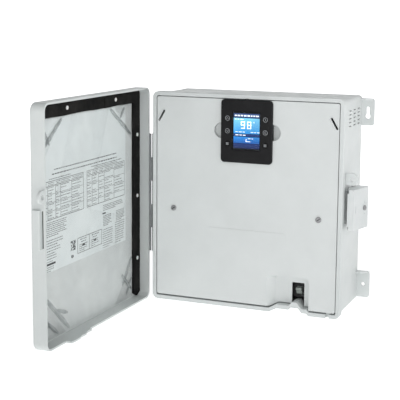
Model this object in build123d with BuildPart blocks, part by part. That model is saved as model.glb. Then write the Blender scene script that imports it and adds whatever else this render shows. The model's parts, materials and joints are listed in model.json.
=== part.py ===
from build123d import *
import math
import os

# Wall-mounted pool control enclosure, in millimetres.
# Origin: centre of the enclosure's back face. +X right, +Y into the wall, +Z up; the front faces -Y.
# "depth" is a distance out from the wall, so a depth d lies at y = -d.

# ---- driving dimensions ----
box_w = 313.4
box_h = 338.8
box_d = 122.5
wall = 3.0
box_corner = 6.0
lip_out = 3.5
lip_deep = 14.0
ear_out = 21.1
ear_h = 44.0
ear_inset = 4.6
ear_web = 12.0
keyhole_r = 4.0
keyhole_neck_r = 2.4
keyhole_rise = 13.0
ear_hole_r = 2.9

door_lap_out = 8.15
door_wall = 3.0
door_ahead = 8.5
door_lap = 15.5
door_corner = 12.0
door_edge_round = 4.0
door_rest_angle = 91.0
hinge_out = 3.15
hinge_behind_rim = 6.5
knuckle_r = 3.15
hinge_pin_r = 1.6
hinge_leaf_t = 1.5
hinge_h = 198.0
hinge_z = 1.6
hinge_leaf_w = 26.0
box_screw_back = 12.0
door_screw_out = 14.0
knuckle_count = 5
run_gap = 0.05

gasket_rim_gap = 0.5
gasket_band = 21.5
gasket_side_gap = 0.65
rivet_r = 3.0
rivet_shank_r = 1.5
film_t = 0.4
film_corner = 62.0
card_edge_in = 22.1
card_rise = 105.55

panel_t = 2.5
panel_recess = 1.0
panel_flange = 12.0
panel_gap = 1.4
panel_low_gap = 2.5
pocket_deep = 12.0
pocket_in = 81.95
pocket_w = 69.5
pocket_h = 56.5
pocket_slope = 11.0
window_in = 67.9
window_w = 20.4
window_top = 46.0
relief_deep = 25.0

display_x = 3.0
display_w = 86.0
display_h = 100.3
display_proud = 2.8
display_body_w = 82.0
display_body_h = 95.0
display_body_d = 15.0
display_skin = 2.0
lcd_w = 48.0
lcd_h = 62.0
lcd_rise = 0.8
key_r = 5.0
key_spread = 31.6
key_pitch = 20.3
key_travel = 0.6
key_gap = 0.25
scoop_r = 12.7
scoop_deep = 8.0

panel_screw_in = 34.1
panel_screw_z = -17.0
panel_screw_r = 2.6
screw_gap = 0.3
post_r = 5.0

latch_h = 64.0
latch_pin_r = 2.0
latch_engage = 3.6
latch_skin = 3.0

hasp_z = 47.6
hasp_t = 4.0
hasp_r = 9.5
hasp_out = 23.7
hasp_hole_r = 4.0

board_side_in = 10.7
board_low_in = 19.4
board_short_w = 127.4
board_short_h = 138.8
board_t = 1.6
standoff_h = 11.0
relay_pitch = 34.0
terminal_pitch = 12.0

# ---- places worked out from them ----
half_w = box_w / 2
half_h = box_h / 2
ear_span = box_w + 2 * ear_out
door_w = box_w + 2 * door_lap_out
door_h = box_h + 2 * door_lap_out
ear_x = (half_w + ear_span / 2) / 2
ear_top_z = half_h - ear_inset - ear_h / 2
ear_low_z = -half_h + ear_inset + ear_h / 2
door_face = box_d + door_ahead
door_rim = box_d - door_lap
door_floor = door_face - door_wall
gasket_t = door_floor - box_d - gasket_rim_gap
hinge_x = -door_w / 2 - hinge_out
hinge_y = -(door_rim - hinge_behind_rim)
hinge_axis = Axis((hinge_x, hinge_y, 0), (0, 0, 1))
hinge_low = hinge_z - hinge_h / 2
box_screw_y = hinge_y + knuckle_r + box_screw_back
door_screw_y = hinge_y - knuckle_r - door_screw_out
knuckle_len = hinge_h / knuckle_count
panel_face = box_d - panel_recess
panel_back = panel_face - panel_t
panel_w = box_w - 2 * wall - 2 * panel_gap
panel_top = half_h - wall - panel_gap
panel_bottom = -half_h + wall + panel_low_gap
panel_screw_x = half_w - panel_screw_in
pocket_x = half_w - pocket_in
window_x = half_w - window_in
hasp_reach = half_w + hasp_out
pocket_top = -half_h + pocket_h
pocket_floor = panel_face - pocket_deep
display_z = panel_top - display_h / 2
display_face = box_d + display_proud
board_w = box_w - board_short_w
board_h = box_h - board_short_h
board_left = -half_w + board_side_in
board_x = board_left + board_w / 2
board_z = -half_h + board_low_in + board_h / 2
board_depth = wall + standoff_h
board_face = board_depth + board_t
latch_x = half_w + 9.0
latch_y = -box_d + 45.0
latch_axis = Axis((latch_x, latch_y, 0), (0, 0, 1))


def front(depth):
    """Plane parallel to the wall, at a depth; extruding by + goes away from the wall."""
    return Plane.XZ.offset(depth)


def save(shape, label):
    """Label a finished piece and write it as one STEP."""
    shape.label = label
    export_step(shape, f"parts/{label}.step")


def save_on_door(shape, label):
    """Write a door piece, modelled shut, at the door's open rest angle."""
    save(shape.rotate(hinge_axis, -door_rest_angle), label)


def save_on_latch(shape, label):
    """Write a lever piece, modelled hooked in, at the lever's lifted rest angle."""
    save(shape.rotate(latch_axis, latch_engage), label)


def slab(x, z, width, height, depth, thickness, radius=0.0):
    """Plain plate parallel to the wall: its centre, size, back depth and thickness."""
    with BuildPart() as plate:
        with BuildSketch(front(depth)):
            with Locations((x, z)):
                if radius > 0:
                    RectangleRounded(width, height, radius)
                else:
                    Rectangle(width, height)
        extrude(amount=thickness)
    return plate.part


def studs(points, radius, depth, length, head_r=0.0, head_t=0.0):
    """Round pins along the depth, each with an optional head on its far end."""
    with BuildPart() as pins:
        with BuildSketch(front(depth)):
            with Locations(*points):
                Circle(radius)
        extrude(amount=length)
        if head_r > 0:
            with BuildSketch(front(depth + length)):
                with Locations(*points):
                    Circle(head_r)
            extrude(amount=head_t)
    return pins.part


def relief_outline(lift):
    """Wavy lower edge over the cable relief, raised by lift, closed below the enclosure."""
    base = -half_h
    low = base - 30.0
    rise = 7.0
    peak = 13.5
    tail = 4.0
    crest_x = window_x - 2.5
    points = [
        (pocket_x - 31, base + lift),
        (pocket_x - 18, base + rise + lift),
        (crest_x - 9, base + rise + lift),
        (crest_x - 4, base + peak + lift),
        (crest_x + 4, base + peak + lift),
        (crest_x + 12, base + tail + lift),
        (crest_x + 20, base + tail + lift),
        (crest_x + 24, base + lift),
    ]
    with BuildSketch(Plane.XY) as outline:
        with BuildLine():
            Polyline((points[0][0], low), *points, (points[-1][0], low), close=True)
        make_face()
        crests = outline.vertices().filter_by_position(Axis.Y, base + lift + 0.1, base + 60)
        fillet(crests, radius=1.8)
    return outline.sketch


def panel_screw_points():
    """Places of the two quarter-turn screws that hold the inner panel."""
    return [(-panel_screw_x, panel_screw_z), (panel_screw_x, panel_screw_z)]


def hinge_screw_heights():
    """Heights of the hinge screws, one at the middle of every knuckle."""
    return [hinge_low + knuckle_len * (i + 0.5) for i in range(knuckle_count)]


def hasp_tab(root_x, depth, thickness):
    """Tongue with a round end and a padlock hole, standing out sideways."""
    centre_x = hasp_reach - hasp_r
    with BuildPart() as tab:
        with BuildSketch(front(depth)):
            with Locations(((root_x + centre_x) / 2, hasp_z)):
                Rectangle(centre_x - root_x, 2 * hasp_r)
            with Locations((centre_x, hasp_z)):
                Circle(hasp_r)
                Circle(hasp_hole_r, mode=Mode.SUBTRACT)
        extrude(amount=thickness)
        rim = tab.faces().filter_by(Axis.Y).edges().filter_by(GeomType.CIRCLE)
        fillet(rim.filter_by(lambda e: e.radius > hasp_hole_r + 1), radius=0.8)
    return tab.part


# ---- enclosure ----
def make_shell():
    """Moulded tub with wall ears, vents, screw posts, a padlock tab and the cable relief."""
    knockouts = [(-112, 14.0), (-66, 14.0), (-24, 11.0), (14, 11.0)]
    vent_cols = 4
    vent_rows = 5
    vent_pitch_y = 26.5
    vent_pitch_z = 6.0
    vent_l = 13.0
    vent_w = 2.0
    vent_y = -box_d / 2 + 0.75
    vent_z = half_h - 31.4
    post_bore = 18.0
    keyhole_low = 7.0
    tab_depth = door_rim - 1.0 - hasp_t
    with BuildPart() as tub:
        with BuildSketch(front(0)):
            RectangleRounded(box_w, box_h, box_corner)
        extrude(amount=box_d)
        # thicker lip round the front
        with BuildSketch(front(box_d - lip_deep)):
            RectangleRounded(box_w + 2 * lip_out, box_h + 2 * lip_out, box_corner + lip_out)
        extrude(amount=lip_deep)
        rim = tub.faces().sort_by(Axis.Y)[0].edges()
        fillet(rim, radius=1.2)
        with BuildSketch(front(wall)):
            RectangleRounded(box_w - 2 * wall, box_h - 2 * wall, box_corner - wall)
        extrude(amount=box_d, mode=Mode.SUBTRACT)
        # ears flush with the back face, each with a web along its top edge
        for side in (-1, 1):
            for ear_z in (ear_top_z, ear_low_z):
                ear_w = ear_span / 2 - half_w
                with BuildSketch(front(0)) as ear:
                    with Locations((side * (ear_x - 1), ear_z)):
                        Rectangle(ear_w + 2, ear_h)
                    outer = ear.vertices().sort_by(Axis((0, 0, 0), (side, 0, 0)))[-2:]
                    fillet(outer, radius=4.0)
                extrude(amount=wall)
                web_z = ear_z + ear_h / 2 - wall / 2
                web = Plane.XY.offset(web_z - wall / 2)
                with BuildSketch(web):
                    inner_x = side * (half_w - 1)
                    tip_x = side * (ear_span / 2 - 4)
                    Polygon(
                        (inner_x, 0), (tip_x, 0), (tip_x, -wall), (side * (half_w + 8), -ear_web),
                        (inner_x, -ear_web), align=None,
                    )
                extrude(amount=wall)
        # keyholes above, round holes below
        with BuildSketch(front(-1)):
            for side in (-1, 1):
                with Locations((side * ear_x, ear_top_z - keyhole_low)):
                    Circle(keyhole_r)
                with Locations((side * ear_x, ear_top_z - keyhole_low + keyhole_rise / 2)):
                    Rectangle(2 * keyhole_neck_r, keyhole_rise)
                with Locations((side * ear_x, ear_top_z - keyhole_low + keyhole_rise)):
                    Circle(keyhole_neck_r)
                with Locations((side * ear_x, ear_low_z)):
                    Circle(ear_hole_r)
        extrude(amount=wall + 2, mode=Mode.SUBTRACT)
        # vent slots in the right wall
        with BuildSketch(Plane.YZ.offset(half_w - wall - 1)):
            with Locations((vent_y, vent_z)):
                with GridLocations(vent_pitch_y, vent_pitch_z, vent_cols, vent_rows):
                    SlotOverall(vent_l, vent_w)
        extrude(amount=wall + 2, mode=Mode.SUBTRACT)
        # posts that carry the inner panel
        with BuildSketch(front(wall - 0.5)):
            with Locations(*panel_screw_points()):
                Circle(post_r)
        extrude(amount=panel_back - wall + 0.5)
        with BuildSketch(front(panel_back)):
            with Locations(*panel_screw_points()):
                Circle(panel_screw_r + screw_gap)
        extrude(amount=-post_bore, mode=Mode.SUBTRACT)
        # conduit knockouts: thin discs left by ring grooves in the bottom wall
        with BuildSketch(Plane.XY.offset(-half_h)):
            for x, radius in knockouts:
                with Locations((x, -box_d / 2)):
                    Circle(radius)
                    Circle(radius - 1.4, mode=Mode.SUBTRACT)
        extrude(amount=wall * 0.65, mode=Mode.SUBTRACT)
        # raised relief in the bottom front edge, with its own back wall
        with BuildSketch(front(box_d - relief_deep - wall)):
            add(relief_outline(wall))
            with Locations((0, -half_h - 20)):
                Rectangle(2 * box_w, 40, mode=Mode.SUBTRACT)
        extrude(amount=relief_deep + wall)
        with BuildSketch(front(box_d - relief_deep)):
            add(relief_outline(0))
        extrude(amount=relief_deep - lip_deep, mode=Mode.SUBTRACT)
        with BuildSketch(front(box_d - lip_deep)):
            add(relief_outline(-lip_out))
        extrude(amount=lip_deep + 1, mode=Mode.SUBTRACT)
        # drain notch in the lower lip
        with BuildSketch(front(box_d - 9)):
            with Locations((half_w - 16.7, -half_h)):
                Rectangle(6, 2 * (wall + lip_out) + 1)
        extrude(amount=10, mode=Mode.SUBTRACT)
        add(hasp_tab(half_w - 1, tab_depth, hasp_t))
        # screw holes of the hinge leaf, in the left wall
        with BuildSketch(Plane.YZ.offset(-half_w - 1)):
            with Locations(*[(box_screw_y, z) for z in hinge_screw_heights()]):
                Circle(rivet_shank_r + run_gap)
        extrude(amount=wall + 2, mode=Mode.SUBTRACT)
    return tub.part


def panel_outline(inset):
    """Front outline of the inner panel, shrunk by inset all round."""
    with BuildSketch(Plane.XY) as outline:
        with Locations((0, (panel_top + panel_bottom) / 2)):
            height = panel_top - panel_bottom - 2 * inset
            RectangleRounded(panel_w - 2 * inset, height, 3.0)
    return outline.sketch


def pocket_block(depth, length, grow):
    """Breaker pocket with a sloped left side, widened by grow: from the front back by length."""
    top = pocket_top + grow
    low = -half_h - 20
    with BuildPart() as block:
        with BuildSketch(front(depth)):
            with Locations((pocket_x, (top + low) / 2)):
                RectangleRounded(pocket_w + 2 * grow, top - low, 7.0)
        with BuildSketch(front(depth - length)):
            with Locations((pocket_x + pocket_slope / 2 - 1, (top + low) / 2)):
                RectangleRounded(pocket_w + 2 * grow - pocket_slope - 2, top - low - 3, 6.0)
        loft()
    return block.part


def make_panel():
    """Inner panel: a shallow tray with the breaker pocket, display opening and finger scoops."""
    slot_l = 21.0
    slot_w = 3.6
    slot_tilt = 60.0
    slot_x = half_w - 12.2
    slot_z = half_h - 35.4
    plate_w = 133.0
    plate_h = 20.0
    plate_z = -53.8
    with BuildPart() as tray:
        with BuildSketch(front(panel_face - panel_flange)):
            add(panel_outline(0))
        extrude(amount=panel_flange)
        with BuildSketch(front(panel_face - panel_flange)):
            add(panel_outline(panel_t))
        extrude(amount=panel_flange - panel_t, mode=Mode.SUBTRACT)
        add(pocket_block(panel_face - 0.5, pocket_deep + panel_t - 0.5, panel_t))
        add(pocket_block(panel_face + 0.01, pocket_deep, 0), mode=Mode.SUBTRACT)
        # finger scoops beside the display
        with BuildSketch(front(panel_face - scoop_deep - panel_t)):
            for side in (-1, 1):
                with Locations((display_x + side * display_w / 2, display_z)):
                    Circle(scoop_r + panel_t)
        extrude(amount=scoop_deep + panel_t - 0.5)
        with BuildSketch(front(panel_face - scoop_deep)):
            for side in (-1, 1):
                with Locations((display_x + side * display_w / 2, display_z)):
                    Circle(scoop_r)
        extrude(amount=scoop_deep + 1, mode=Mode.SUBTRACT)
        # display opening
        with BuildSketch(front(panel_face - 20)):
            with Locations((display_x, display_z)):
                RectangleRounded(display_body_w + 1, display_body_h + 1, 4.5)
        extrude(amount=21, mode=Mode.SUBTRACT)
        # blank raised name plate
        with BuildSketch(front(panel_face - 0.5)):
            with Locations((2.5, plate_z)):
                RectangleRounded(plate_w, plate_h, 4.0)
        extrude(amount=1.0)
        # slanted slots with raised lips near the top corners
        for side in (-1, 1):
            with BuildSketch(front(panel_face - 0.5)):
                with Locations(Location((side * slot_x, slot_z), side * -slot_tilt)):
                    SlotOverall(slot_l + 3, slot_w + 3)
            extrude(amount=1.1)
            with BuildSketch(front(panel_face - panel_t - 1)):
                with Locations(Location((side * slot_x, slot_z), side * -slot_tilt)):
                    SlotOverall(slot_l, slot_w)
            extrude(amount=panel_t + 3, mode=Mode.SUBTRACT)
        # screw holes
        with BuildSketch(front(panel_back - 1)):
            with Locations(*panel_screw_points()):
                Circle(panel_screw_r + screw_gap)
        extrude(amount=panel_t + 3, mode=Mode.SUBTRACT)
        # breaker window, open at its lower edge
        window_low = -half_h - 5
        with BuildSketch(front(pocket_floor - panel_t - 1)):
            with Locations((window_x, (window_low + window_top - half_h) / 2)):
                RectangleRounded(window_w, window_top - half_h - window_low, 1.5)
        extrude(amount=panel_t + 2, mode=Mode.SUBTRACT)
        # lower edge follows the relief in the enclosure
        with BuildSketch(front(panel_face - 25)):
            add(relief_outline(wall + panel_gap))
            with Locations((pocket_x, -half_h - 20 + (panel_bottom + half_h))):
                Rectangle(pocket_w + 12, 40)
        extrude(amount=30, mode=Mode.SUBTRACT)
    return tray.part


def make_panel_screw(x):
    """Quarter-turn screw: slotted dome head, shank and a cross pin."""
    shank_l = 12.0
    head_r = 4.6
    head_t = 2.0
    with BuildPart() as screw:
        with BuildSketch(front(panel_back - shank_l)):
            with Locations((x, panel_screw_z)):
                Circle(panel_screw_r)
        extrude(amount=shank_l + panel_t)
        with BuildSketch(front(panel_face)):
            with Locations((x, panel_screw_z)):
                Circle(head_r)
        extrude(amount=head_t)
        top = screw.faces().sort_by(Axis.Y)[0]
        fillet(top.edges(), radius=0.9)
        with BuildSketch(front(panel_face + head_t - 1.0)):
            with Locations((x, panel_screw_z)):
                Rectangle(6.4, 1.2, rotation=35)
        extrude(amount=2, mode=Mode.SUBTRACT)
    return screw.part


# ---- display unit ----
def key_points():
    """Places of the six keys, left column first, top to bottom."""
    rows = [display_z + key_pitch * step for step in (1, 0, -1)]
    return [(display_x + side * key_spread, z) for side in (-1, 1) for z in rows]


def make_display_housing():
    """Bezel and open-backed body, with key holes, a screen opening and a thumb tab."""
    body_back = panel_face - display_body_d
    skin_depth = display_face - display_skin
    lcd_z = display_z + lcd_rise
    with BuildPart() as housing:
        with BuildSketch(front(panel_face)):
            with Locations((display_x, display_z)):
                RectangleRounded(display_w, display_h, 6.0)
        extrude(amount=display_face - panel_face)
        with BuildSketch(front(body_back)):
            with Locations((display_x, display_z)):
                RectangleRounded(display_body_w, display_body_h, 4.0)
        extrude(amount=display_body_d)
        with BuildSketch(front(box_d + 0.4)):
            with Locations((display_x, display_z + display_h / 2 - 1)):
                SlotOverall(9, 5)
        extrude(amount=display_proud - 0.4)
        fillet(housing.faces().sort_by(Axis.Y)[0].edges(), radius=1.2)
        with BuildSketch(front(body_back)):
            with Locations((display_x, display_z)):
                inner_w = display_body_w - 2 * display_skin
                inner_h = display_body_h - 2 * display_skin
                RectangleRounded(inner_w, inner_h, 2.0)
        extrude(amount=skin_depth - body_back, mode=Mode.SUBTRACT)
        with BuildSketch(front(skin_depth - 1)):
            with Locations(*key_points()):
                Circle(key_r + key_gap)
        extrude(amount=display_skin + 2, mode=Mode.SUBTRACT)
        with BuildSketch(front(skin_depth - 1)):
            with Locations((display_x, lcd_z)):
                Rectangle(lcd_w - 3, lcd_h - 3)
        extrude(amount=display_skin + 2, mode=Mode.SUBTRACT)
        with BuildSketch(front(display_face - 1.0)):
            with Locations((display_x, lcd_z)):
                Rectangle(lcd_w, lcd_h)
        extrude(amount=2, mode=Mode.SUBTRACT)
    return housing.part


def make_key(point):
    """Round key cap with a flange that keeps it behind the bezel."""
    skin_back = display_face - display_skin
    with BuildPart() as key:
        with BuildSketch(front(skin_back - 1.4)):
            with Locations(point):
                Circle(key_r + 1.2)
        extrude(amount=1.0)
        with BuildSketch(front(skin_back - 0.4)):
            with Locations(point):
                Circle(key_r)
        extrude(amount=display_skin + 0.4 + 0.3)
        fillet(key.faces().sort_by(Axis.Y)[0].edges(), radius=0.25)
    return key.part


def make_display_inside():
    """Screen window, screen module, its board, the key switches and the plug header."""
    lcd_z = display_z + lcd_rise
    skin_back = display_face - display_skin
    key_back = skin_back - 1.4
    board_front = key_back - 5.0
    save(slab(display_x, lcd_z, lcd_w - 0.2, lcd_h - 0.2, display_face - 1.0, 0.9), "display_window")
    save(slab(display_x, lcd_z, lcd_w - 4, lcd_h - 4, skin_back - 2.0, 2.0 + 0.9), "display_screen")
    save(
        slab(display_x, display_z, display_body_w - 5, display_body_h - 5, board_front - board_t, board_t, 2),
        "display_board",
    )
    with BuildPart() as switches:
        with BuildSketch(front(board_front)):
            with Locations(*key_points()):
                Rectangle(6, 6)
        extrude(amount=3.4)
        with BuildSketch(front(board_front + 3.4)):
            with Locations(*key_points()):
                Circle(1.7)
        extrude(amount=0.8)
    save(switches.part, "key_switches")
    with BuildPart() as cradle:
        with BuildSketch(front(board_front)):
            with Locations((display_x, lcd_z)):
                Rectangle(lcd_w - 8, lcd_h - 8)
        extrude(amount=skin_back - 2.0 - board_front)
    save(cradle.part, "screen_cradle")
    return board_front - board_t


# ---- door ----
def door_rivet_points():
    """Places of the rivets that hold the gasket, on the shut door."""
    band_x = door_w / 2 - door_wall - gasket_side_gap - gasket_band / 2
    band_z = door_h / 2 - door_wall - gasket_side_gap - gasket_band / 2
    sides = [(side * band_x, z) for side in (-1, 1) for z in (99.6, -2.4, -108.4)]
    return sides + [(-75, band_z), (75, band_z)]


def make_door_shell():
    """Door tray with its keeper block, latch slot, padlock tab and lower tongue."""
    keeper_t = 5.5
    keeper_h = 56.0
    keeper_rear = box_d - 8.8
    keeper_w = 13.0
    slot_near = box_d - 9.2
    slot_far = box_d - 12.5
    with BuildPart() as tray:
        with BuildSketch(front(door_rim)):
            RectangleRounded(door_w, door_h, door_corner)
        extrude(amount=door_face - door_rim)
        fillet(tray.faces().sort_by(Axis.Y)[0].edges(), radius=door_edge_round)
        with BuildSketch(front(door_rim)):
            RectangleRounded(door_w - 2 * door_wall, door_h - 2 * door_wall, door_corner - door_wall)
        extrude(amount=door_floor - door_rim, mode=Mode.SUBTRACT)
        # keeper block ahead of the latch slot
        with BuildSketch(front(keeper_rear)):
            with Locations((door_w / 2 + keeper_t / 2 - 1, 0)):
                Rectangle(keeper_t + 2, keeper_h)
        extrude(amount=keeper_w)
        corners = tray.edges().filter_by(Axis.Z).filter_by_position(Axis.X, door_w / 2 + 1, door_w)
        fillet(corners, radius=1.5)
        with BuildSketch(front(slot_far)):
            with Locations((door_w / 2 - door_wall / 2, 0)):
                Rectangle(door_wall + 2, keeper_h - 2)
        extrude(amount=slot_near - slot_far, mode=Mode.SUBTRACT)
        add(hasp_tab(door_w / 2 - 1, door_rim, hasp_t))
        # tongue on the lower wall that covers the cable relief when the door is shut
        with BuildSketch(Plane.XY.offset(-door_h / 2)) as tongue:
            rim_y = -door_rim
            with BuildLine():
                Polyline(
                    (pocket_x - 33, rim_y - 2), (pocket_x - 33, rim_y + 4.6), (pocket_x - 16, rim_y + 4.6),
                    (pocket_x - 9, rim_y + 8.2), (pocket_x + 4, rim_y + 7.0), (pocket_x + 12, rim_y + 9.6),
                    (pocket_x + 36, rim_y + 9.6), (pocket_x + 36, rim_y - 2), close=True,
                )
            make_face()
            waves = tongue.vertices().filter_by_position(Axis.Y, rim_y, rim_y + 12)
            fillet(waves, radius=1.6)
        extrude(amount=door_wall)
        # rivet holes behind the gasket
        with BuildSketch(front(door_floor)):
            with Locations(*door_rivet_points()):
                Circle(rivet_shank_r + run_gap)
        extrude(amount=2, mode=Mode.SUBTRACT)
        # screw holes of the hinge leaf
        with BuildSketch(Plane.YZ.offset(-door_w / 2 - 1)):
            with Locations(*[(door_screw_y, z) for z in hinge_screw_heights()]):
                Circle(rivet_shank_r + run_gap)
        extrude(amount=door_wall - 0.5 + 1, mode=Mode.SUBTRACT)
    return tray.part


def make_gasket():
    """Foam gasket: an upside-down U along the top and both sides, with slanted feet."""
    out_x = door_w / 2 - door_wall - gasket_side_gap
    out_z = door_h / 2 - door_wall - gasket_side_gap
    in_x = out_x - gasket_band
    in_z = out_z - gasket_band
    foot_rise = 6.5
    with BuildPart() as foam:
        with BuildSketch(front(door_floor)) as band:
            with BuildLine():
                Polyline(
                    (-out_x, out_z), (out_x, out_z), (out_x, -out_z + 6), (in_x + 11, -out_z + 0.5),
                    (in_x, -out_z + foot_rise), (in_x, in_z), (-in_x, in_z), (-in_x, -out_z + foot_rise),
                    (-in_x - 11, -out_z + 0.5), (-out_x, -out_z + 6), close=True,
                )
            make_face()
            fillet(band.vertices().filter_by_position(Axis.Y, out_z - 0.1, out_z + 0.1), radius=8.0)
            with Locations(*door_rivet_points()):
                Circle(rivet_shank_r + run_gap, mode=Mode.SUBTRACT)
        extrude(amount=-gasket_t)
        # shallow relief where the display's bezel meets the foam
        relief_top = panel_top + 3.0
        with BuildSketch(front(display_face + screw_gap)):
            with Locations((display_x, (in_z + relief_top) / 2)):
                Rectangle(display_w + 4, relief_top - in_z)
        extrude(amount=-gasket_t, mode=Mode.SUBTRACT)
    return foam.part


def make_rivets():
    """Push rivets through the gasket into the door."""
    head_depth = door_floor - gasket_t
    with BuildPart() as pins:
        with BuildSketch(front(head_depth)):
            with Locations(*door_rivet_points()):
                Circle(rivet_shank_r)
        extrude(amount=gasket_t + 1.8)
        with BuildSketch(front(head_depth)):
            with Locations(*door_rivet_points()):
                Circle(rivet_r)
        extrude(amount=-0.8)
    return pins.part


def make_sheet():
    """Printed wiring card, the clear pouch over it and the pouch's four folded corners."""
    side_x = door_w / 2 - door_wall - gasket_side_gap - gasket_band - 0.6
    top_z = door_h / 2 - door_wall - gasket_side_gap - gasket_band - 0.6
    low_z = -door_h / 2 + door_wall + 2
    card_low = -door_h / 2 + card_rise
    with BuildPart() as card:
        with BuildSketch(front(door_floor)):
            Polygon(
                (side_x - 1, top_z - 1), (side_x - 1, card_low), (card_edge_in - side_x, card_low),
                (card_edge_in - side_x, top_z - 1), align=None,
            )
        extrude(amount=-film_t)
    with BuildPart() as pouch:
        with BuildSketch(front(door_floor - film_t)):
            with Locations((0, (top_z + low_z) / 2)):
                Rectangle(2 * side_x, top_z - low_z)
        extrude(amount=-film_t)
    with BuildPart() as corners:
        with BuildSketch(front(door_floor - 2 * film_t)):
            for side in (-1, 1):
                Polygon(
                    (side * side_x, top_z), (side * (side_x - film_corner), top_z),
                    (side * side_x, top_z - film_corner), align=None,
                )
                Polygon(
                    (side * side_x, low_z), (side * (side_x - film_corner), low_z),
                    (side * side_x, low_z + film_corner), align=None,
                )
        extrude(amount=-film_t)
    return card.part, pouch.part, corners.part


# ---- hinge ----
def knuckle_heights(first):
    """Lower ends of every second knuckle, from the first one given."""
    return [hinge_low + knuckle_len * i for i in range(first, knuckle_count, 2)]


def make_leaf(first, plate_points, tail_points):
    """Hinge leaf: a plate, the necks to its knuckles and the knuckles on the pin."""
    with BuildPart() as leaf:
        with BuildSketch(Plane.XY.offset(hinge_low)):
            Polygon(*plate_points, align=None)
        extrude(amount=hinge_h)
        for low in knuckle_heights(first):
            with BuildSketch(Plane.XY.offset(low + 0.2)):
                Polygon(*tail_points, align=None)
                with Locations((hinge_x, hinge_y)):
                    Circle(knuckle_r)
                    Circle(hinge_pin_r + run_gap, mode=Mode.SUBTRACT)
            extrude(amount=knuckle_len - 0.4)
    return leaf.part


def make_box_leaf():
    """Leaf on the enclosure: an angle that steps out from the left wall to the pin."""
    web_near = hinge_y + knuckle_r - hinge_leaf_t
    web_far = hinge_y + knuckle_r
    wall_x = -half_w
    flange_end = web_near + 22
    neck_x = hinge_x + knuckle_r + 0.8
    angle = [
        (neck_x, web_near), (wall_x, web_near), (wall_x, flange_end),
        (wall_x - hinge_leaf_t, flange_end), (wall_x - hinge_leaf_t, web_far), (neck_x, web_far),
    ]
    necks = [
        (hinge_x + hinge_pin_r + 0.6, web_far), (hinge_x + hinge_pin_r + 0.6, web_near),
        (neck_x + 0.5, web_near), (neck_x + 0.5, web_far),
    ]
    with BuildPart() as leaf:
        add(make_leaf(0, angle, necks))
        with BuildSketch(Plane.YZ.offset(wall_x - hinge_leaf_t - 1)):
            with Locations(*[(box_screw_y, z) for z in hinge_screw_heights()]):
                Circle(rivet_shank_r + run_gap)
        extrude(amount=hinge_leaf_t + 1.5, mode=Mode.SUBTRACT)
    return leaf.part


def make_door_leaf():
    """Leaf on the door: a flat strip on the outside of its hinge-side wall."""
    face_x = -door_w / 2
    back_x = face_x - hinge_leaf_t
    neck_y = hinge_y - knuckle_r - 0.8
    far_y = hinge_y - hinge_leaf_w
    neck_top = hinge_y - hinge_pin_r - 0.6
    strip = [(back_x, neck_y), (face_x, neck_y), (face_x, far_y), (back_x, far_y)]
    necks = [(back_x, neck_top), (face_x, neck_top), (face_x, neck_y - 0.5), (back_x, neck_y - 0.5)]
    with BuildPart() as leaf:
        add(make_leaf(1, strip, necks))
        with BuildSketch(Plane.YZ.offset(back_x - 1)):
            with Locations(*[(door_screw_y, z) for z in hinge_screw_heights()]):
                Circle(rivet_shank_r + run_gap)
        extrude(amount=hinge_leaf_t + 1.5, mode=Mode.SUBTRACT)
    return leaf.part


def make_side_screws(face_x, y, reach):
    """Pan-head screws driven sideways from a face on the left, one per knuckle."""
    places = [(y, z) for z in hinge_screw_heights()]
    with BuildPart() as screws:
        with BuildSketch(Plane.YZ.offset(face_x)):
            with Locations(*places):
                Circle(3.0)
        extrude(amount=-1.4)
        with BuildSketch(Plane.YZ.offset(face_x)):
            with Locations(*places):
                Circle(rivet_shank_r)
        extrude(amount=reach)
        with BuildSketch(Plane.YZ.offset(face_x - 1.4)):
            with Locations(*places):
                Rectangle(3.6, 0.8)
                Rectangle(0.8, 3.6)
        extrude(amount=0.7, mode=Mode.SUBTRACT)
    return screws.part


def make_hinge_pin():
    """Hinge pin with a small head at each end."""
    with BuildPart() as pin:
        with BuildSketch(Plane.XY.offset(hinge_low - 1)):
            with Locations((hinge_x, hinge_y)):
                Circle(hinge_pin_r)
        extrude(amount=hinge_h + 2)
        for end in (hinge_low - 2, hinge_low + hinge_h + 0.2):
            with BuildSketch(Plane.XY.offset(end)):
                with Locations((hinge_x, hinge_y)):
                    Circle(hinge_pin_r + 0.9)
            extrude(amount=1.8)
    return pin.part


# ---- latch ----
def latch_places():
    """Outer face of the lever when hooked in: front corner, rear corner, tail."""
    lip_y = -box_d + 9.6
    return (half_w + 16.3, lip_y), (half_w + 31.5, -box_d + 53), (half_w + 28.5, -box_d + 61)


def latch_face_plane():
    """Plane on the lever's sloping outer face, at its middle height."""
    (x0, y0), (x1, y1), _ = latch_places()
    run = math.hypot(x1 - x0, y1 - y0)
    along = ((x1 - x0) / run, (y1 - y0) / run, 0)
    normal = (along[1], -along[0], 0)
    return Plane(origin=(x0, y0, 0), x_dir=along, z_dir=normal)


def make_latch_base():
    """Bracket on the right wall with two lugs for the pin."""
    plate_t = 2.0
    lug_r = 5.0
    lug_in = 22.0
    lug_t = 5.0
    with BuildPart() as base:
        with BuildSketch(Plane.YZ.offset(half_w)):
            with Locations((latch_y + 2, 0)):
                RectangleRounded(34, 2 * (lug_in + lug_t), 3)
        extrude(amount=plate_t)
        for low in (-lug_in - lug_t, lug_in):
            with BuildSketch(Plane.XY.offset(low)):
                with Locations(((half_w + latch_x) / 2, latch_y)):
                    Rectangle(latch_x - half_w, 2 * lug_r)
                with Locations((latch_x, latch_y)):
                    Circle(lug_r)
                    Circle(latch_pin_r + run_gap, mode=Mode.SUBTRACT)
            extrude(amount=lug_t)
    return base.part


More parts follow.
